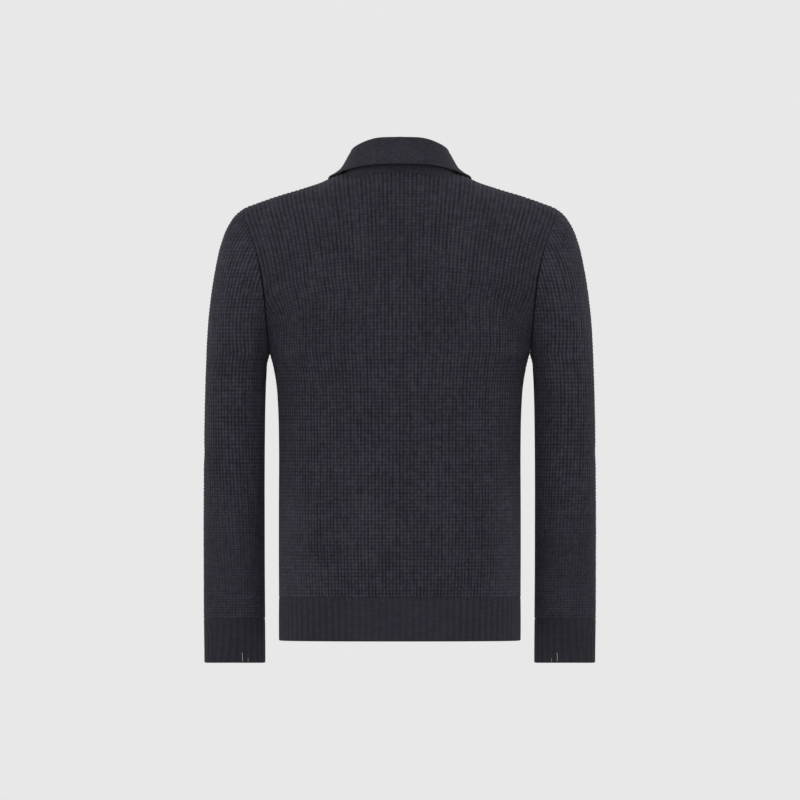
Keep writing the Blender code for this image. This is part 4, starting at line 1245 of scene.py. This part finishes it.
def make_hem(finish):
    heights = band_rows(BODY_BOTTOM_Z, HEM_BOTTOM_Z)
    steps = HEM_RIBS // 2 * BAND_POINTS
    for part, behind, side in (("back", 1, 1), ("front_left", -1, 1), ("front_right", -1, -1)):
        inset = 0.0 if behind > 0 else ZIP_HALF
        face = np.stack([section_row(z, behind, np.linspace(0, 1, steps + 1), inset)
                         for z in heights])
        rib = np.arange(steps + 1) / BAND_POINTS
        if behind > 0:
            face = both_halves(face)
            rib = np.concatenate([-rib[:0:-1], rib])
        normal = grid_normals(face)
        way_out = outward(normal, 1, behind)
        rib, z = np.broadcast_arrays(rib[None], heights[:, None])
        # Painted shade between the hem's ribs, more towards the sides.
        dark = HEM_DARK + HEM_DARKER * ramp(np.abs(face[..., 0]), *HEM_ASIDE)
        up = z - HEM_BOTTOM_Z
        wobble = HEM_WOBBLE * uneven(rib, up / BAND_COURSE, HEM_SEED + behind, HEM_WOBBLE_COURSES)
        outer, inner, shade = ribbed(face, normal * way_out, rib + wobble, z, BODY_BOTTOM_Z,
                                     HEM_BOTTOM_Z, HEM_RELIEF, dark)
        obj = shell(f"hem_{part}_rib", outer, inner, rib, up / BAND_STITCH, shade, finish,
                    way_out, side, step=3)
        put(obj, "rib_knit", f"hem_{part}")


def make_cuffs(finish):
    steps = CUFF_RIBS * BAND_POINTS
    turn = np.linspace(-math.pi, math.pi, steps + 1)
    heights = band_rows(CUFF_TOP_Z - SEAM_GAP, CUFF_BOTTOM_Z)
    face = np.stack([arm_ring(z, turn) for z in heights])
    normal = grid_normals(face, True)
    way_out = outward(normal, 0)
    rib, z = np.broadcast_arrays(np.arange(steps + 1)[None] / BAND_POINTS, heights[:, None])
    up = z - CUFF_BOTTOM_Z
    slant = CUFF_SLANT * uneven(rib / CUFF_SLANT_RIBS, up / BAND_COURSE, CUFF_SEED,
                                CUFF_SLANT_COURSES)
    slant = slant * np.sin(math.pi * rib / CUFF_RIBS) ** 2
    outer, inner, shade = ribbed(face, normal * way_out, rib + slant, z, CUFF_TOP_Z,
                                 CUFF_BOTTOM_Z, CUFF_RELIEF, CUFF_DARK)
    shade = np.clip(shade + CUFF_SHADE, 0, 1)
    for side, name in SIDES:
        obj = shell(f"cuff_{name}_rib", outer, inner, rib, up / BAND_STITCH, shade, finish,
                    way_out, side, step=3, tube=len(heights) - 1)
        put(obj, "rib_knit", f"cuff_{name}")


# ------------ collar
def run_length(points, axis):
    """The mean way along one axis of a grid of points."""
    return running(strides(points, axis).mean(axis=1 - axis))


def make_collar(finish):
    turns = [COLLAR[-1].angle * i / COLLAR_STEPS for i in range(COLLAR_STEPS + 1)]
    control = both_halves(np.stack([collar_path(angle) for angle in turns], axis=1))
    last, end = control.shape[0] - 1, control.shape[1] - 1
    rows = np.concatenate([np.linspace(0, last - COLLAR_INSIDE, COLLAR_ROWS),
                           last - COLLAR_EDGE[::-1]])
    columns = np.concatenate([COLLAR_EDGE,
                              np.linspace(COLLAR_INSIDE, end - COLLAR_INSIDE, COLLAR_COLUMNS),
                              end - COLLAR_EDGE[::-1]])
    row_at, column_at = np.meshgrid(rows, columns, indexing="ij")
    middle, normal = surface(control, row_at, column_at)
    along, down = run_length(middle, 1)[None], run_length(middle, 0)[:, None]
    to_edge = np.minimum(down[-1] - down, np.minimum(along, along[0, -1] - along))
    wall = rounded(np.clip(to_edge / (COLLAR_WALL / 2), 0, 1)) * COLLAR_WALL / 2
    seam = np.exp(-((to_edge - TURNED_EDGE) / TURNED_WIDTH) ** 2)
    half = normal * (wall - seam * TURNED_DEPTH)[..., None]
    # The sewn line's dent gets painted shade.
    obj = shell("collar_knit", middle + half, middle - half, along / COLLAR_STITCH[0],
                down / COLLAR_STITCH[1], seam * TURNED_DARK, finish, 1, step=1)
    put(obj, "collar_knit", "collar")


# ------------ zip
def front_line(z):
    """The outer face of the fronts at the zip."""
    return np.array([0.0, float(body_y(ZIP_HALF, z, -1)), z])


def zip_frames(top, bottom, rows):
    """Places down the zip, each with the direction out of the cloth."""
    step = 0.002
    frames = []
    for z in np.linspace(top, bottom, rows):
        way = front_line(z + step) - front_line(z - step)
        out = np.array([0.0, -way[2], way[1]])
        frames.append((front_line(z), out / np.linalg.norm(out)))
    return frames


def make_tapes(finish):
    frames = zip_frames(NECK_FRONT_Z - TAPE_ROOM, HEM_BOTTOM_Z + TAPE_ROOM, TAPE_ROWS)
    across = np.linspace(CHAIN_HALF + SEAM_GAP, TAPE_HALF, TAPE_COLUMNS)
    place = np.stack([at for at, _ in frames])[:, None]
    out = np.stack([way for _, way in frames])[:, None]
    up = np.arange(TAPE_ROWS)[:, None] * TAPE_LENGTH / TAPE_ROWS
    for side, name in SIDES:
        shift = np.zeros((1, len(across), 3))
        shift[0, :, 0] = across * side
        face = place + shift - out * TAPE_DEEP
        obj = shell(f"zip_tape_{name}_weave", face, face - out * TAPE_WALL, across / TAPE_STITCH[0],
                    up / TAPE_STITCH[1], np.zeros(face.shape[:2]), finish, -side, step=1)
        put(obj, "zip_tape", f"zip_tape_{name}")


def make_teeth(finish):
    """The closed chain: interlocking teeth, left and right in turn."""
    top, bottom = SLIDER_Z, HEM_BOTTOM_Z + END_BOX_LENGTH + SEAM_GAP
    count = int((top - bottom) / TOOTH_PITCH)
    corners = len(TOOTH)
    points, faces = [], []
    for k, (place, out) in enumerate(zip_frames(top, bottom, count)):
        down = np.array([0.0, out[2], -out[1]])
        side = 1 if k % 2 else -1
        rings = []
        for depth, size in TOOTH_LEVELS:
            rings.append(list(range(len(points), len(points) + corners)))
            for x, part in TOOTH:
                aside = np.array([side * x, 0, 0])
                points.append(place + aside + down * part * TOOTH_PITCH * size - out * depth)
        tooth = [rings[0], rings[-1][::-1]]
        for near, far in zip(rings, rings[1:]):
            for c in range(corners):
                d = (c + 1) % corners
                tooth.append([near[c], far[c], far[d], near[d]])
        faces += tooth if side > 0 else [face[::-1] for face in tooth]
    put(plain_mesh("zip_teeth", points, faces, finish, TOOTH_SHARP), "zip_metal", "zip_chain")


def dress_metal(finish):
    for name in ("zip_end_box", "zip_slider", "zip_pull"):
        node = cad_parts[name]
        node.data.materials.clear()
        node.data.materials.append(finish)


# ------------ loose threads at the cuffs
Thread = namedtuple("Thread", "name column top bottom width")
THREADS = [
    Thread("thread_long", 242.3, 653.5, 662.0, 0.00030),
    Thread("thread_short", 248.0, 658.5, 662.0, 0.00020),
]
THREAD_POINTS = 8
THREAD_WAVE = 0.0003
THREAD_BENDS = 5
THREAD_LIFT = 0.0003


def make_threads(finish):
    """Pale ends of yarn on the backs of the cuffs, placed by the photograph's pixels."""
    for thread in THREADS:
        x = (PHOTO_SIDE / 2 - thread.column) * PIXEL
        top, bottom = ((NAPE_ROW - row) * PIXEL for row in (thread.top, thread.bottom))
        for side, name in SIDES:
            curve = bpy.data.curves.new(f"{thread.name}_{name}", "CURVE")
            curve.dimensions = "3D"
            curve.bevel_depth = thread.width
            curve.bevel_resolution = 2
            curve.use_fill_caps = True
            spline = curve.splines.new("POLY")
            spline.points.add(THREAD_POINTS - 1)
            for k, part in enumerate(np.linspace(0, 1, THREAD_POINTS)):
                z = top + (bottom - top) * part
                wave = THREAD_WAVE * math.sin(THREAD_BENDS * part + side)
                spline.points[k].co = (side * (x + wave), cuff_back(x, z) + THREAD_LIFT, z, 1.0)
            curve.materials.append(finish)
            put(linked(f"{thread.name}_{name}", curve), "rib_knit")


def cuff_back(x, z):
    """The y of the cuff's outer face behind, at a place in the photograph's plane."""
    aside, below = 0.3, 0.01  # the cuff's sides, left out, and the room under it
    turn = np.linspace(aside, math.pi - aside, 60)
    levels = np.linspace(CUFF_BOTTOM_Z - below, CUFF_TOP_Z, 40)
    rings = np.concatenate([arm_ring(level, turn) for level in levels])
    away = (rings[:, 0] - x) ** 2 + (rings[:, 2] - z) ** 2
    return float(rings[np.argmin(away), 1])


# ------------ stage
def make_stage():
    finish = Nodes("pale_floor").finish(Base_Color=(FLOOR_TONE, FLOOR_TONE, FLOOR_TONE, 1.0),
                                        Roughness=1.0, Specular_IOR_Level=0.0)
    corners = [(-1, -1), (1, -1), (1, 1), (-1, 1)]
    points = [(x * STAGE_SIDE, y * STAGE_SIDE, FLOOR_Z) for x, y in corners]
    plain_mesh("floor", points, [(0, 1, 2, 3)], finish)


def make_light():
    world = bpy.data.worlds.new("studio")
    world.use_nodes = True
    background = world.node_tree.nodes["Background"]
    background.inputs["Color"].default_value = (STUDIO, STUDIO, STUDIO, 1.0)
    background.inputs["Strength"].default_value = 1.0
    bpy.context.scene.world = world
    key = bpy.data.lights.new("key", "SUN")
    key.energy = KEY
    key.angle = math.radians(KEY_SPREAD)
    linked("key", key).rotation_euler = (-Vector(KEY_WAY)).to_track_quat("-Z", "Y").to_euler()
    bpy.context.scene.view_settings.view_transform = "Standard"


def make_camera():
    data = bpy.data.cameras.new("camera")
    data.sensor_width = SENSOR
    data.lens = SENSOR * CAMERA_DISTANCE / (PHOTO_SIDE * PIXEL)
    data.clip_end = CAMERA_REACH
    camera = linked("camera", data)
    height = (NAPE_ROW - PHOTO_SIDE / 2) * PIXEL
    aside = (PHOTO_MIDDLE - PHOTO_SIDE / 2) * PIXEL
    camera.location = (aside, CAMERA_DISTANCE, height)
    camera.rotation_euler = (math.pi / 2, 0.0, math.pi)
    bpy.context.scene.camera = camera


# ------------ the whole
def main():
    make_camera()
    waffle_finish = knit_material("waffle_knit_yarn", WAFFLE)
    band_finish = knit_material("rib_knit_yarn", BAND)
    collar_finish = knit_material("collar_knit_yarn", COLLAR_YARN)
    metal = metal_material()
    make_collar(collar_finish)
    make_back(waffle_finish)
    make_fronts(waffle_finish)
    make_sleeves(waffle_finish)
    make_hem(band_finish)
    make_cuffs(band_finish)
    make_tapes(tape_material())
    make_teeth(metal)
    dress_metal(metal)
    make_threads(thread_material())
    make_stage()
    make_light()


main()
